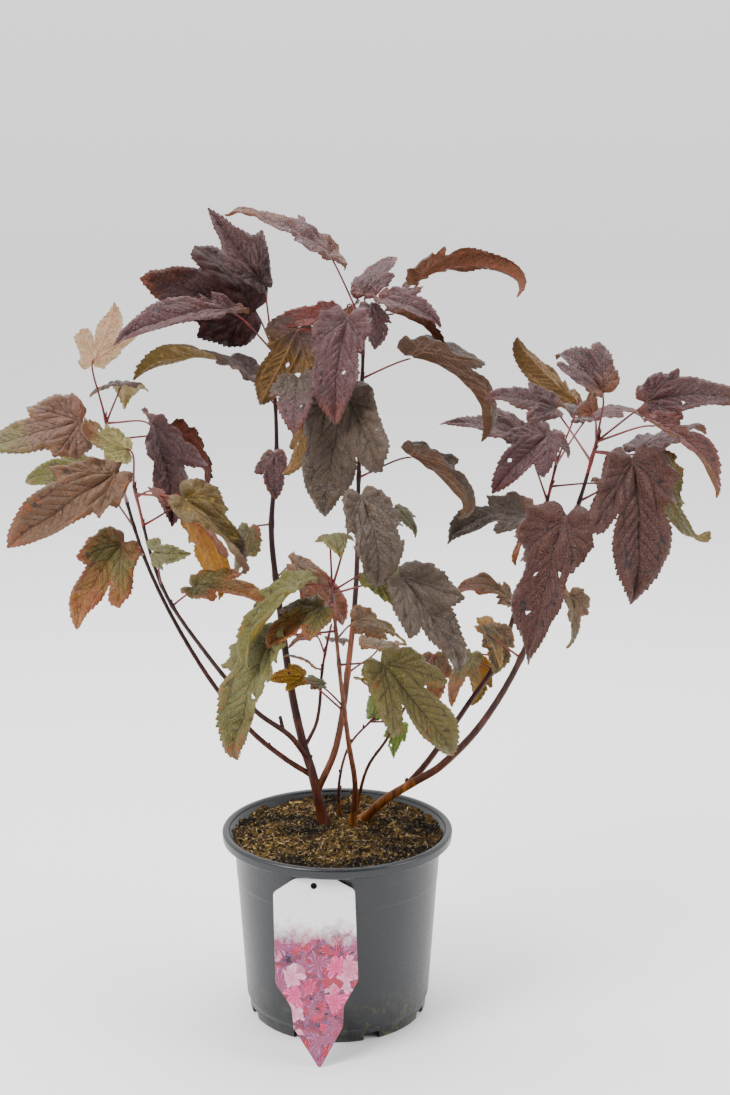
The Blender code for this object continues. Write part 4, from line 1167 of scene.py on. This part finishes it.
stalkSkin = stalkMaterial()
leafNumber = 0
for massName, mass in masses.items():
    limb = grownLimbs[mass["limb"]]
    pieceName = named("", massName.removeprefix("leaves_"))
    heap = LeafHeap("blades" + pieceName, len(mass["leaves"]))
    paths = []
    for leafRow in mass["leaves"]:
        start = limb.at(leafRow[0] * limb.length)
        heap.add(leafRow, leafNumber, start)
        paths.append(stalkPath(leafRow, start))
        leafNumber += 1
    blades = heap.finish()
    stalks = swept("stalks" + pieceName, paths, stalkShape, stalkSkin)
    for piece in (blades, stalks):
        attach(piece, "root")
    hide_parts(massName)
print("leaves grown:", leafNumber)


# Stems

stemShape = dict(sides=14, step=2.0, knotSwell=0.22, knotLength=3.5, relief=0.45, grain=420.0,
                 stretch=0.16, sink=6, softTip=26, blur=12, blurScale=90)
barkInk = dict(rough=0.52, specular=0.3, pale=2.1, paleLeast=0.008, dark=0.35, spots=0.5)
barkBands = (                   # height above the floor in metres, colour as read on a screen
    (0.166, (150, 88, 40)), (0.188, (98, 46, 20)), (0.225, (80, 34, 20)), (0.29, (74, 30, 26)),
    (0.38, (58, 24, 24)), (9, (50, 17, 21)),
)
barkRise = dict(stem_right_front=22, stem_back_left=-26, stem_front=-6)     # in millimetres
paleBark = dict(colour=(124, 72, 58), stem_front=0.35, stem_centre=0.31)    # up to this height


def barkMaterial(number, ink):
    base = screen(*ink)
    recipe = Recipe(f"bark{number}", base, barkInk["rough"], 0.0, barkInk["specular"])
    grain = recipe.cloud(260, 4, recipe.stretched((1, 1, 0.12)), 0.4)
    pale = [min(1, c * barkInk["pale"] + barkInk["paleLeast"]) for c in base]
    dark = [c * barkInk["dark"] for c in base]
    tone = recipe.mixed(recipe.ramp(grain, 0.53, 0.7), base, pale)
    tone = recipe.mixed(recipe.ramp(grain, 0.48, 0.32), tone, dark)
    spots = recipe.ramp(recipe.cells(300, vector=recipe.stretched((1, 1, 0.6))), 0.16, 0.1)
    recipe.colour(recipe.spread(spots, tone, pale, barkInk["spots"]))
    recipe.rough(recipe.ramp(grain, 0.3, 0.7, 0.62, 0.42))
    recipe.bump(grain, 0.35 * mm, 0.8)
    return recipe.material


barkMaterials = [barkMaterial(k, band[1]) for k, band in enumerate(barkBands)]
barkMaterials.append(barkMaterial(len(barkBands), paleBark["colour"]))


def addStem(name):
    limb = grownLimbs[name]
    leafPlaces = [row[0] * limb.length for mass in masses.values() if mass["limb"] == name
                  for row in mass["leaves"]]
    step = stemShape["step"] * mm
    first = -stemShape["sink"] * mm if limb.onSoil else 0
    count = round((limb.length - first) / step)
    points, radii = [], []
    for k in range(count + 1):
        distance = first + (limb.length - first) * k / count
        points.append(limb.at(distance))
        if distance < 0:        # runs on straight into the compost
            points[-1] += limb.way(0, 0, step) * distance
        radius = limb.radius(distance)
        swells = [radius]
        for leafPlace in leafPlaces:
            near = (distance - leafPlace) / (stemShape["knotLength"] * mm)
            swells.append(radius * (1 + stemShape["knotSwell"] * math.exp(-near ** 2)))
        radii.append(max(swells))
    made = swept(named("bark", name), [(points, radii)], stemShape, barkMaterials[0])
    made.data.materials.clear()
    for material in [*barkMaterials, stalkSkin]:
        made.data.materials.append(material)
    tip = limb.at(limb.length)
    for face in made.data.polygons:
        shift = noise.noise(face.center * stemShape["blurScale"]) * (stemShape["blur"] * mm)
        soft = (face.center - tip).length + shift < stemShape["softTip"] * mm
        height = face.center.z + shift - barkRise.get(name, 0) * mm
        band = next(k for k, row in enumerate(barkBands) if height < row[0])
        if band > 1 and height < paleBark.get(name, 0):
            band = len(barkBands)
        face.material_index = len(barkMaterials) if soft else band
    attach(made, "root")
    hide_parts(name)


for limbName in limbs:
    addStem(limbName)
print("stems grown")


# Buds in the leaf axils, leafy scales at the stems' tips, and the stubs of old shoots

# Each stub: its limb, share along it, bearing, rise, length and thickness in millimetres
stubs = (
    ("stem_left", 0.13, 170, 78, 12, 3.2), ("stem_left", 0.32, 130, 50, 4, 2.0),
    ("stem_far_left", 0.12, 200, 70, 5, 2.4), ("stem_back_left", 0.14, 330, 25, 5, 2.6),
    ("stem_back_left", 0.22, 180, 30, 4, 2.2), ("stem_right_front", 0.13, 80, 60, 7, 2.8),
    ("stem_right_front", 0.24, 250, 30, 4, 2.2), ("stem_centre", 0.1, 20, 40, 4, 2.0),
    ("stem_front", 0.12, 190, 45, 5, 2.2), ("stem_front", 0.36, 330, 40, 4, 1.8),
    ("stem_front", 0.0, 10, 80, 13, 4.6), ("twig_back", 0.4, 250, 60, 5, 1.6),
)
budShape = dict(                # length and radius of each kind in millimetres
    bud=(4.2, 1.1), scale=(9, 0.9), spur=(4.5, 1.0), spurStep=11, pieces=6, sides=7,
    relief=0.25, grain=500.0, stretch=0.3, stubPieces=5, stubTaper=(1.15, 0.05),
    least=0.08, swell=(0.32, 0.68), power=0.7, budUp=1.6, budAhead=1.3, budSizes=(0.8, 1.2),
    scales=3, scaleAhead=1.6, scaleAside=0.7, scaleSizes=(0.6, 1.0), twigScale=0.5,
    spurSizes=(0.6, 1.2), spurTurn=(60, 180), spurSpread=30, spurRise=20,
)


def taperPath(start, way, length, radius):      # swells a little, then runs out to a point
    made, radii = [], []
    first, over = budShape["swell"]
    for k in range(budShape["pieces"] + 1):
        share = k / budShape["pieces"]
        made.append(start + way * length * share)
        swell = math.sin(math.pi * (first + over * share)) ** budShape["power"]
        radii.append(radius * max(budShape["least"], swell))
    return made, radii


def axilBuds(draw):
    made = []
    length, radius = budShape["bud"]
    for mass in masses.values():
        limb = grownLimbs[mass["limb"]]
        for row in mass["leaves"]:
            distance = row[0] * limb.length
            ahead = limb.way(distance, 4 * mm, 4 * mm)
            way = (ahead * budShape["budAhead"] + heading(row[1], row[2])).normalized()
            start = limb.at(distance) + ahead * budShape["budUp"] * mm
            size = length * draw.uniform(*budShape["budSizes"])
            made.append(taperPath(start, way, size * mm, radius * mm))
    return made


def tipScales(name, limb, draw):
    made = []
    length, radius = budShape["scale"]
    ahead = limb.way(limb.length, 8 * mm, 0)
    for k in range(budShape["scales"]):
        side = heading(draw.uniform(0, 360), draw.uniform(-10, 30))
        aside = side * budShape["scaleAside"] * (k > 0)
        way = (ahead * budShape["scaleAhead"] + aside).normalized()
        size = length * draw.uniform(*budShape["scaleSizes"])
        size *= budShape["twigScale"] if "twig" in name else 1
        made.append(taperPath(limb.at(limb.length), way, size * mm, radius * mm))
    return made


def twigSpurs(limb, draw):
    made = []
    length, radius = budShape["spur"]
    count = int(limb.length / (budShape["spurStep"] * mm))
    (first, turn), spread = budShape["spurTurn"], budShape["spurSpread"]
    for k in range(1, count):
        distance = limb.length * k / count
        bearing = first + turn * (k % 2) + draw.uniform(-spread, spread)
        side = heading(bearing, budShape["spurRise"])
        way = (limb.way(distance, 0, 3 * mm) + side).normalized()
        size = length * draw.uniform(*budShape["spurSizes"])
        made.append(taperPath(limb.at(distance), way, size * mm, radius * mm))
    return made


def oldStubs():
    made = []
    pieces, (first, less) = budShape["stubPieces"], budShape["stubTaper"]
    for name, share, bearing, rise, length, thick in stubs:
        limb = grownLimbs[name]
        start, way = limb.at(share * limb.length), heading(bearing, rise)
        points = [start + way * length * mm * k / pieces for k in range(pieces + 1)]
        made.append((points, [thick * mm / 2 * (first - less * k) for k in range(pieces + 1)]))
    return made


def addBuds():
    draw = random.Random(seed)
    buds, scales, spurs = axilBuds(draw), [], []
    for name, limb in grownLimbs.items():
        scales += tipScales(name, limb, draw)
        if "twig" in name:
            spurs += twigSpurs(limb, draw)
    for name, paths, material in (("axilBuds", buds, barkMaterials[2]),
                                  ("tipScales", scales, stalkSkin),
                                  ("twigSpurs", spurs + oldStubs(), barkMaterials[3])):
        made = swept(name, paths, budShape, material)
        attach(made, "root")


addBuds()
print("buds and stubs set")


# Pot

pot = dict(
    height=150, rimRadius=91.7, rimInside=84.7, rimDepth=8.5, wallTop=82, wallFoot=73.5, wall=1.3,
    neck=142.5, step=112, stepDepth=0.4, ledge=12, foot=71, ring=5, footHeight=7, floor=1.6,
    boss=28, notches=8, notchWidth=13, notchHeight=6, notchReach=16,
    slot=(15, 5, 6), slotMiddle=48, around=192, bead=16, beadShift=0.6, beadRise=0.8, bevel=0.4,
)


def wallRadius(z):
    share = (z - pot["ledge"]) / (pot["height"] - pot["rimDepth"] - pot["ledge"])
    return pot["wallFoot"] + (pot["wallTop"] - pot["wallFoot"]) * share


def rounded(profile, corners):  # rounds off the corners that are named by their place, by a radius
    made = []
    for k, point in enumerate(profile):
        radius = corners.get(k, 0)
        if not radius:
            made.append(point)
            continue
        here = np.array(point, float)
        before = np.array(profile[k - 1], float) - here
        after = np.array(profile[k + 1], float) - here
        first = here + before / np.linalg.norm(before) * radius
        last = here + after / np.linalg.norm(after) * radius
        for t in (0, 0.25, 0.5, 0.75, 1):
            made.append(tuple((1 - t) ** 2 * first + 2 * t * (1 - t) * here + t * t * last))
    return made


def addTurned(name, profile, steps):    # (radius, height) in millimetres, with its ends on the axis
    form = bmesh.new()
    rings = []
    for r, z in profile:
        circle = around(steps) if r >= 1e-6 else [(0, 0)]
        rings.append([form.verts.new((r * mm * x, r * mm * y, z * mm)) for x, y in circle])
    for a, b in zip(rings, rings[1:]):
        for k in range(steps):
            n = (k + 1) % steps
            corners = [a[k % len(a)], a[n % len(a)], b[n % len(b)], b[k % len(b)]]
            unique = list(dict.fromkeys(corners))
            if len(unique) > 2:
                form.faces.new(unique)
    bmesh.ops.recalc_face_normals(form, faces=form.faces)
    return addForm(name, form)


def addCutter(middle, size, turn):
    form = bmesh.new()
    bmesh.ops.create_cube(form, size=1)
    shift = Matrix.Translation([v * mm for v in middle])
    stretch = Matrix.Diagonal([*(v * mm for v in size), 1])
    bmesh.ops.transform(form, verts=form.verts,
                        matrix=Matrix.Rotation(turn, 4, "Z") @ (shift @ stretch))
    return addForm("cutter", form)


potInk = dict(
    skin=(27, 30, 35), pale=(45, 50, 56), dust=(150, 146, 136), moss=(104, 106, 44),
    soilMark=(58, 46, 34), stain=(12, 13, 12),
)
potRough = 0.3


def potMaterial():
    inks = {name: screen(*ink) for name, ink in potInk.items()}
    recipe = Recipe("potPlastic", inks["skin"], potRough)
    x, _, z = recipe.node("ShaderNodeSeparateXYZ", recipe.place).outputs
    streaks = recipe.cloud(60, 3, recipe.stretched((1, 1, 0.08)))
    tone = recipe.mixed(recipe.ramp(streaks, 0.35, 0.75, 0, 0.3), inks["skin"], inks["pale"])
    scratch = recipe.cloud(26, 5, recipe.stretched((1, 1, 5), (0.4, 0.2, 0)), 1.5)
    tone = recipe.mixed(recipe.ramp(scratch, 0.7, 0.76, 0, 0.35), tone, inks["pale"])

    def band(low, high, cloud, *spread):    # patches of dirt between two heights
        return recipe.sums("MULTIPLY", recipe.ramp(z, low, high), recipe.ramp(cloud, *spread))

    dusty = band(0.045, 0.004, recipe.cloud(90, 5), 0.5, 0.72, 0, 0.45)
    mossy = band(0.04, 0.01, recipe.cloud(210, 6, distortion=0.8), 0.57, 0.63, 0, 0.9)
    mossy = recipe.sums("MULTIPLY", mossy, recipe.ramp(x, -0.02, 0.03))
    stains = band(0.05, 0.012, recipe.cloud(70, 6, distortion=0.6), 0.46, 0.6, 0, 0.85)
    rimDirt = band(0.1475, 0.1495, recipe.cloud(130, 4), 0.55, 0.7, 0, 0.4)
    for share, ink in ((dusty, "dust"), (stains, "stain"), (mossy, "moss"), (rimDirt, "soilMark")):
        tone = recipe.mixed(share, tone, inks[ink])
    recipe.colour(tone)
    fine = recipe.cloud(700, 3)
    recipe.rough(recipe.ramp(recipe.sums("ADD", fine, dusty), 0.3, 1.3, potRough - 0.05, 0.7))
    recipe.bump(fine, 0.05 * mm, 0.5)
    return recipe.material


def addPot():
    wall, ledge, foot, step = [pot[k] for k in ("wall", "ledge", "foot", "step")]
    floor = pot["footHeight"] + pot["floor"]
    underRim = pot["height"] - pot["rimDepth"]
    rimMiddle = (pot["rimRadius"] + pot["rimInside"]) / 2 + pot["beadShift"]
    lip = pot["rimRadius"] - rimMiddle
    rise = lip * pot["beadRise"]
    profile = [(0, floor), (foot - wall, floor), (pot["wallFoot"] - wall, ledge + wall),
               (pot["wallTop"] - wall, pot["neck"]), (pot["rimInside"] - 0.2, pot["neck"] + 4)]
    for k in range(pot["bead"] + 1):    # the rim is a rounded bead
        turn = math.pi * (1 - k / pot["bead"])
        profile.append((rimMiddle + lip * math.cos(turn),
                        pot["height"] - rise + rise * math.sin(turn)))
    outside = [
        (pot["rimRadius"] - 0.5, underRim + 1), (pot["rimRadius"] - 1.5, underRim),
        (pot["wallTop"], underRim), (wallRadius(step) + pot["stepDepth"], step),
        (wallRadius(step), step - 1), (pot["wallFoot"], ledge + 2),
        (pot["wallFoot"] - 1, ledge - 1), (foot + 0.5, ledge - 3), (foot, 1.5),
        (foot - 1, 0), (foot - pot["ring"], 0),
        (foot - pot["ring"], pot["footHeight"]), (pot["boss"] + 2, pot["footHeight"]),
        (pot["boss"], 0), (0, 0),
    ]
    outside = rounded(outside, {2: 1.2, 3: 0.6, 4: 0.5, 6: 0.8, 7: 0.8, 10: 0.8, 13: 0.8})
    made = addTurned("pottedShell", profile + outside, pot["around"])
    notch = (pot["notchReach"], pot["notchWidth"], 2 * pot["notchHeight"])
    cutters = []
    for k in range(pot["notches"]):
        turn = 2 * math.pi * (k + 0.5) / pot["notches"]
        cutters.append(addCutter((foot, 0, 0), notch, turn))
        cutters.append(addCutter((pot["slotMiddle"], 0, pot["footHeight"]), pot["slot"], turn))
    for cutter in cutters:
        modifier = made.modifiers.new("cut", "BOOLEAN")
        modifier.operation = "DIFFERENCE"
        modifier.solver = "EXACT"
        modifier.object = cutter
    addBevel(made, pot["bevel"], 60)
    mesh = settle(made)
    for cutter in cutters:
        bpy.data.objects.remove(cutter)
    mesh.materials.clear()
    mesh.materials.append(potMaterial())
    smoothOver(mesh, 35)
    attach(made, "root")
    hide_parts("pot")


addPot()
print("pot turned")


# Compost

compost = dict(
    lumps=2.4, lumpScale=46, lumpNoise=(0.7, 2.2, 4), grit=1.5, gritScale=170,
    gritNoise=(0.8, 2.1, 4), gritDepth=0.3, around=288, rings=72, ringCrowding=0.8,
    wallGap=0.3, rimGap=1.2, crumbGap=1.5, sunk=0.6, rise=0.45, riseFrom=2,
    smoothMiddle=(4, 12), middleShare=0.35,
    crumbs=95000, crumbSize=1.0, straws=48000, strawLength=4.0, strawThick=0.32,
    chips=5200, chipLength=5.5, lean=0.6, turns=(1.9, 0.4, 6.28),
    least=(0.5, 0.5, 0.35), most=(1.6, 1.3, 1.5),
)
# hollow is painted shade: a near-black that stands for the shade in the compost's hollows
compostInk = dict(
    base=(84, 62, 40), wet=(28, 21, 16), dry=(112, 90, 64), fleck=(206, 172, 122),
    hollow=(18, 14, 10), damp=0.16,
)


def compostMaterial():
    inks = {name: screen(*compostInk[name]) for name in ("base", "wet", "dry", "fleck", "hollow")}
    recipe = Recipe("peat", inks["base"], 0.95, 0.0, 0.15)
    patches = recipe.ramp(recipe.cloud(26, 4, distortion=0.5), 0.42, 0.56)
    tone = recipe.mixed(patches, inks["wet"], inks["dry"])
    flecks = recipe.cloud(420, 4, recipe.stretched((1, 0.35, 1), (0, 0, 0.7)))
    tone = recipe.spread(recipe.ramp(flecks, 0.58, 0.68), tone, inks["fleck"], 0.8)
    # painted shade: near-black patches spread by noise, for the shade in the compost's hollows
    dark = recipe.ramp(recipe.cloud(200, 5), 0.52, 0.36)
    recipe.colour(recipe.spread(dark, tone, inks["hollow"], 0.9))
    recipe.bump(recipe.cloud(500, 5, distortion=0.6), 1.4 * mm, 1.0)
    return recipe.material


def crumbMaterial(name, low, high, rough):
    low, high = screen(*low), screen(*high)
    recipe = Recipe(name, low, rough, 0.0, 0.25)
    tone = recipe.mixed(recipe.ramp(recipe.cloud(240, 2), 0.35, 0.65), low, high)
    damp = recipe.ramp(recipe.cloud(26, 4, distortion=0.5), 0.54, 0.42, 0, 0.85)
    recipe.colour(recipe.mixed(damp, tone, [c * compostInk["damp"] for c in low]))
    recipe.bump(recipe.cloud(1500, 2), 0.2 * mm, 0.7)
    return recipe.material


def soilHeight(x, y):
    radius = math.hypot(x, y) / mm
    share = max(0, radius - soil["flatRadius"]) / (pot["wallTop"] - soil["flatRadius"])
    height = soil["top"] + (soil["edge"] - soil["top"]) * share
    lump = noise.fractal(Vector((x, y, 0)) * compost["lumpScale"], *compost["lumpNoise"])
    grit = noise.fractal(Vector((x, y, compost["gritDepth"])) * compost["gritScale"],
                         *compost["gritNoise"])
    raised = compost["lumps"] * lump + compost["grit"] * grit
    start, over = compost["smoothMiddle"]
    near = clamp((radius - start) / over, 0, 1)
    edge = max(0, radius - pot["wallTop"] + pot["wall"] + compost["riseFrom"]) * compost["rise"]
    middle = compost["middleShare"]
    return (height - compost["sunk"] + edge + raised * (middle + (1 - middle) * near)) * mm


def scatterTree():
    tree = ShapeTree("scatter", Density="Float", Seed="Int", Length="Float", Thickness="Float",
                     Sides="Int", Lie="Float", Material="Material")
    given = tree.given
    spread = tree.node("GeometryNodeDistributePointsOnFaces", Mesh=given["Geometry"],
                       Density=given["Density"], Seed=given["Seed"])
    stick = tree.node("GeometryNodeMeshCylinder", fill_type="TRIANGLE_FAN",
                      Vertices=given["Sides"], Radius=given["Thickness"], Depth=given["Length"])
    tilt = tree.node("ShaderNodeCombineXYZ", given["Lie"]).outputs["Vector"]
    turn = tree.node("FunctionNodeRandomValue", tree.vectors("SCALE", tilt, Scale=compost["lean"]),
                     compost["turns"], data_type="FLOAT_VECTOR")
    size = tree.node("FunctionNodeRandomValue", compost["least"], compost["most"],
                     data_type="FLOAT_VECTOR", Seed=given["Seed"])
    put = tree.node("GeometryNodeInstanceOnPoints", Points=spread.outputs["Points"],
                    Instance=stick.outputs["Mesh"], Rotation=turn.outputs["Value"],
                    Scale=size.outputs["Value"])
    return tree.close(put.outputs["Instances"])


def compostFill(reach):         # its points and faces, the open top's rings first
    away = compost["wallGap"]
    floor = pot["footHeight"] + pot["floor"] + away
    steps, rings = compost["around"], compost["rings"]
    points, faces = [(0, 0, soilHeight(0, 0))], []
    for ring in range(1, rings + 1):
        radius = reach * (ring / rings) ** compost["ringCrowding"] * mm
        for x, y in around(steps, 0.5 * (ring % 2)):
            points.append((radius * x, radius * y, soilHeight(radius * x, radius * y)))
    for radius, z in ((pot["wallTop"] - pot["wall"] - away, pot["neck"] - away),
                      (pot["wallFoot"] - pot["wall"] - away, pot["ledge"] + pot["wall"] + away),
                      (pot["foot"] - pot["wall"] - 2 * away, floor)):
        points += [(radius * mm * x, radius * mm * y, z * mm) for x, y in around(steps)]
    points.append((0, 0, floor * mm))
    last = len(points) - 1
    for k in range(steps):
        n = (k + 1) % steps
        faces += [(0, 1 + k, 1 + n), (last, last - steps + n, last - steps + k)]
    for ring in range(rings + 2):
        a, b = 1 + ring * steps, 1 + (ring + 1) * steps
        for k in range(steps):
            n = (k + 1) % steps
            faces += [(a + k, b + k, b + n), (a + k, b + n, a + n)]
    return points, faces


def addCompost():
    reach = pot["rimInside"] - compost["rimGap"]
    points, faces = compostFill(reach)
    mesh = plainMesh("peatFill", points, faces)
    form = bmesh.new()
    form.from_mesh(mesh)
    bmesh.ops.recalc_face_normals(form, faces=form.faces)
    form.to_mesh(mesh)
    form.free()
    mesh.materials.append(compostMaterial())
    smoothOver(mesh, 50)
    made = addObject("peatFill", mesh)
    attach(made, "root")
    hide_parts("compost")
    addCrumbs(points, faces, (reach - compost["crumbGap"]) * mm)


def addCrumbs(points, faces, reach):
    scatter = scatterTree()
    ground = [p for p in points[:1 + compost["rings"] * compost["around"]]
              if math.hypot(p[0], p[1]) < reach]
    inner = {tuple(p): k for k, p in enumerate(ground)}
    bedFaces = [[inner.get(tuple(points[c]), -1) for c in corners] for corners in faces]
    bedFaces = [corners for corners in bedFaces if -1 not in corners]
    crumbs, size, straws = compost["crumbs"], compost["crumbSize"], compost["straws"]
    long, thin = compost["strawLength"], compost["strawThick"]
    kinds = (       # name, how many to a square metre, seed, length, radius, sides, lie, material
        ("peatCrumbs", crumbs, 3, 1.5, size / 2, 5, 0.0,
         crumbMaterial("peatCrumb", (66, 50, 38), (118, 96, 74), 0.95)),
        ("peatDarkCrumbs", crumbs * 0.5, 8, 2.2, size * 0.8, 5, 0.0,
         crumbMaterial("darkCrumb", (26, 20, 16), (48, 38, 28), 0.9)),
        ("strawFlecks", straws, 5, long, thin, 4, 1.5,
         crumbMaterial("straw", (236, 218, 190), (168, 142, 110), 0.8)),
        ("woodChips", compost["chips"], 14, compost["chipLength"], 0.9, 4, 1.5,
         crumbMaterial("chip", (214, 188, 142), (150, 122, 84), 0.8)),
        ("rootFibres", straws * 0.8, 11, long * 1.3, thin * 0.7, 4, 1.5,
         crumbMaterial("fibre", (146, 122, 98), (86, 68, 52), 0.85)),
    )
    for name, density, number, length, thick, sides, lie, material in kinds:
        bed = addObject(name, plainMesh(name, ground, bedFaces))
        piece = runTree(bed, scatter, {
            "Density": float(density), "Seed": number, "Length": length * mm,
            "Thickness": thick * mm, "Sides": sides, "Lie": lie, "Material": material})
        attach(piece, "root")


addCompost()
print("compost filled")


# Label

label = dict(
    length=142, thickness=0.6, hole=2.5, holeDown=6, holeSteps=32, top=(-16.5, -83.2, 140.5),
    tip=(-12, -108, 0.4), pointWidth=1, corner=2.5, bevel=0.12, grid=6, gridFrom=(-27, 4),
    halfWidths=((0.21, 18.5), (0.32, 19.5), (0.45, 31), (0.93, 30.5), (1.0, 14)),
)
labelInk = dict(
    card=(247, 246, 247), pale=(228, 178, 200), pink=(214, 104, 146), rose=(176, 50, 92),
    red=(136, 22, 54), mauve=(118, 82, 112), dusk=(38, 24, 40),
    backLow=(240, 239, 238), backHigh=(250, 250, 250),
)
labelPrint = dict(              # three layers of leaves: cells to a metre, shift, size, inks, first
    strength=0.95, saturation=1.3, fadeFrom=0.092, fadeTo=0.109,
    warpScale=70.0, warp=0.012, lobes=2.5, notch=0.45, veins=12.0,
    layers=(
        (210.0, 3.7, 0.75, ("rose", "dusk", "mauve", "dusk", "red"), 0.0),
        (120.0, 1.3, 0.72, ("rose", "pink", "dusk", "pale", "mauve", "red"), 0.3),
        (66.0, 0.4, 0.66, ("pink", "mauve", "rose", "pale", "pink", "mauve"), 0.5),
    ),
)
cardInks = {
    name: [min(v * labelPrint["strength"], 0.9)
           for v in saturated(linear(*ink), labelPrint["saturation"])]
    for name, ink in labelInk.items()
}


def labelMaterial():
    recipe = Recipe("labelPrint", cardInks["card"], 0.32)
    x, _, z = recipe.node("ShaderNodeSeparateXYZ", recipe.place).outputs
    flat = recipe.node("ShaderNodeCombineXYZ", x, z, 0.0).outputs["Vector"]
    warp = recipe.node("ShaderNodeTexNoise", Vector=flat, Scale=labelPrint["warpScale"], Detail=3.0)
    shift = recipe.vectors("SCALE", warp.outputs["Color"], Scale=labelPrint["warp"])
    moved = recipe.vectors("ADD", flat, shift)

    def sprays(scale, shift, size):     # lobed leaves, one to a cell: mask, pick and veins
        away = recipe.node("ShaderNodeMapping", Vector=moved, Location=(shift, shift * 0.7, 0))
        away = away.outputs["Vector"]
        cells = recipe.node("ShaderNodeTexVoronoi", voronoi_dimensions="2D", Vector=away,
                            Scale=scale).outputs
        middle = recipe.vectors("SUBTRACT", away, cells["Position"])
        partX, partY, _ = recipe.node("ShaderNodeSeparateXYZ", middle).outputs
        pick, turn, _ = recipe.node("ShaderNodeSeparateXYZ", cells["Color"]).outputs
        angle = recipe.sums("ARCTAN2", partY, partX)
        angle = recipe.sums("ADD", angle, recipe.sums("MULTIPLY", turn, 6.28))
        lobes = recipe.sums("SINE", recipe.sums("MULTIPLY", angle, labelPrint["lobes"]))
        edge = recipe.ramp(recipe.sums("ABSOLUTE", lobes), 0, 1, size * labelPrint["notch"], size)
        mask = recipe.ramp(recipe.sums("SUBTRACT", edge, cells["Distance"]), -0.02, 0.03)
        veins = recipe.sums("SINE", recipe.sums("MULTIPLY", angle, labelPrint["veins"]))
        return mask, pick, veins, cells["Distance"]

    def layer(under, scale, shift, size, inks, first):
        mask, pick, veins, far = sprays(scale, shift, size)
        tone = cardInks[inks[0]]
        for k, name in enumerate(inks[1:]):
            at = (k + 1) / len(inks)
            tone = recipe.mixed(recipe.ramp(pick, at - 0.03, at + 0.03), tone, cardInks[name])
        for share, name in ((recipe.ramp(veins, 0.6, 1.0, 0, 0.5), "pale"),
                            (recipe.ramp(veins, -0.3, -1.0, 0, 0.35), "rose"),
                            (recipe.ramp(far, 0.0, size, 0.5, 0), "red")):
            tone = recipe.mixed(share, tone, cardInks[name])
        higher = recipe.ramp(recipe.sums("ADD", pick, z), first, first + 0.02)
        return recipe.mixed(recipe.sums("MULTIPLY", mask, higher), under, tone)

    tone = recipe.mixed(recipe.ramp(recipe.cloud(150, 3), 0.4, 0.6), cardInks["dusk"],
                        cardInks["mauve"])
    for row in labelPrint["layers"]:
        tone = layer(tone, *row)
    ragged = recipe.sums("ADD", z, recipe.ramp(recipe.cloud(160, 4), 0.3, 0.7, -0.006, 0.006))
    fade = recipe.ramp(ragged, labelPrint["fadeFrom"], labelPrint["fadeTo"])
    recipe.colour(recipe.mixed(fade, tone, cardInks["card"]))
    recipe.rough(recipe.ramp(recipe.cloud(60, 2), 0.3, 0.7, 0.26, 0.4))
    recipe.bump(recipe.cloud(300, 2), 0.03 * mm, 0.4)
    return recipe.material


def labelBackMaterial():
    recipe = Recipe("labelBack", cardInks["card"], 0.4)
    recipe.colour(recipe.mixed(recipe.ramp(recipe.cloud(40, 3), 0.3, 0.7), cardInks["backLow"],
                               cardInks["backHigh"]))
    recipe.bump(recipe.cloud(300, 2), 0.03 * mm, 0.4)
    return recipe.material


def labelOutline():             # the rounded outline, in millimetres up from the tip
    left = [(-w, v * label["length"]) for v, w in label["halfWidths"]]
    right = [(w, v * label["length"]) for v, w in reversed(label["halfWidths"])]
    outline = [(-label["pointWidth"], 0), *left, *right, (label["pointWidth"], 0)]
    corners = {k: label["corner"] for k in range(2, len(outline) - 2)}
    return rounded(outline + outline[:1], corners)[:-1]


def addLabel():
    top, tip = [Vector(label[k]) * mm for k in ("top", "tip")]
    rise = (top - tip).normalized()
    across = Vector((1, 0, 0))
    across = (across - rise * across.dot(rise)).normalized()
    outward = across.cross(rise)
    soft = labelOutline()
    steps, size = label["holeSteps"], label["hole"]
    holeUp = label["length"] - label["holeDown"]
    hole = [(size * x, holeUp + size * y) for x, y in around(steps)]
    points = [Vector(p) for p in soft + hole]
    count = len(soft)
    edges = [(k, (k + 1) % count) for k in range(count)]
    edges += [(count + k, count + (k + 1) % steps) for k in range(steps)]
    firstU, firstV = label["gridFrom"]
    for v in np.arange(firstV, label["length"] - 2, label["grid"]):
        for u in np.arange(firstU, 1 - firstU, label["grid"]):
            points.append(Vector((u, v)))
    flat, _, faces, _, _, _ = delaunay_2d_cdt(points, edges, [], 2, 1e-5)

    def insideLabel(u, v):
        if math.hypot(u, v - holeUp) < size * 0.98:
            return False
        crossings = 0
        for (x0, y0), (x1, y1) in zip(soft, soft[1:] + soft[:1]):
            if (y0 > v) != (y1 > v) and u < x0 + (v - y0) / (y1 - y0) * (x1 - x0):
                crossings += 1
        return crossings % 2 == 1

    form = bmesh.new()
    verts = [form.verts.new(tip + across * p[0] * mm + rise * p[1] * mm) for p in flat]
    for face in faces:
        u, v = [sum(flat[c][k] for c in face) / len(face) for k in (0, 1)]
        if insideLabel(u, v):
            made = form.faces.new([verts[c] for c in face])
            made.normal_update()
            if made.normal.dot(outward) < 0:
                made.normal_flip()
    bmesh.ops.delete(form, geom=[v for v in form.verts if not v.link_faces], context="VERTS")
    made = addForm("plantLabel", form)
    solid = made.modifiers.new("card", "SOLIDIFY")
    solid.thickness = label["thickness"] * mm
    solid.offset = 0
    addBevel(made, label["bevel"], 50)
    mesh = settle(made)
    mesh.materials.append(labelMaterial())
    mesh.materials.append(labelBackMaterial())
    for face in mesh.polygons:
        face.material_index = 0 if face.normal.dot(outward) > 0.5 else 1
    smoothOver(mesh, 30)
    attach(made, "root")
    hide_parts("label_tag")


addLabel()
print("label printed")
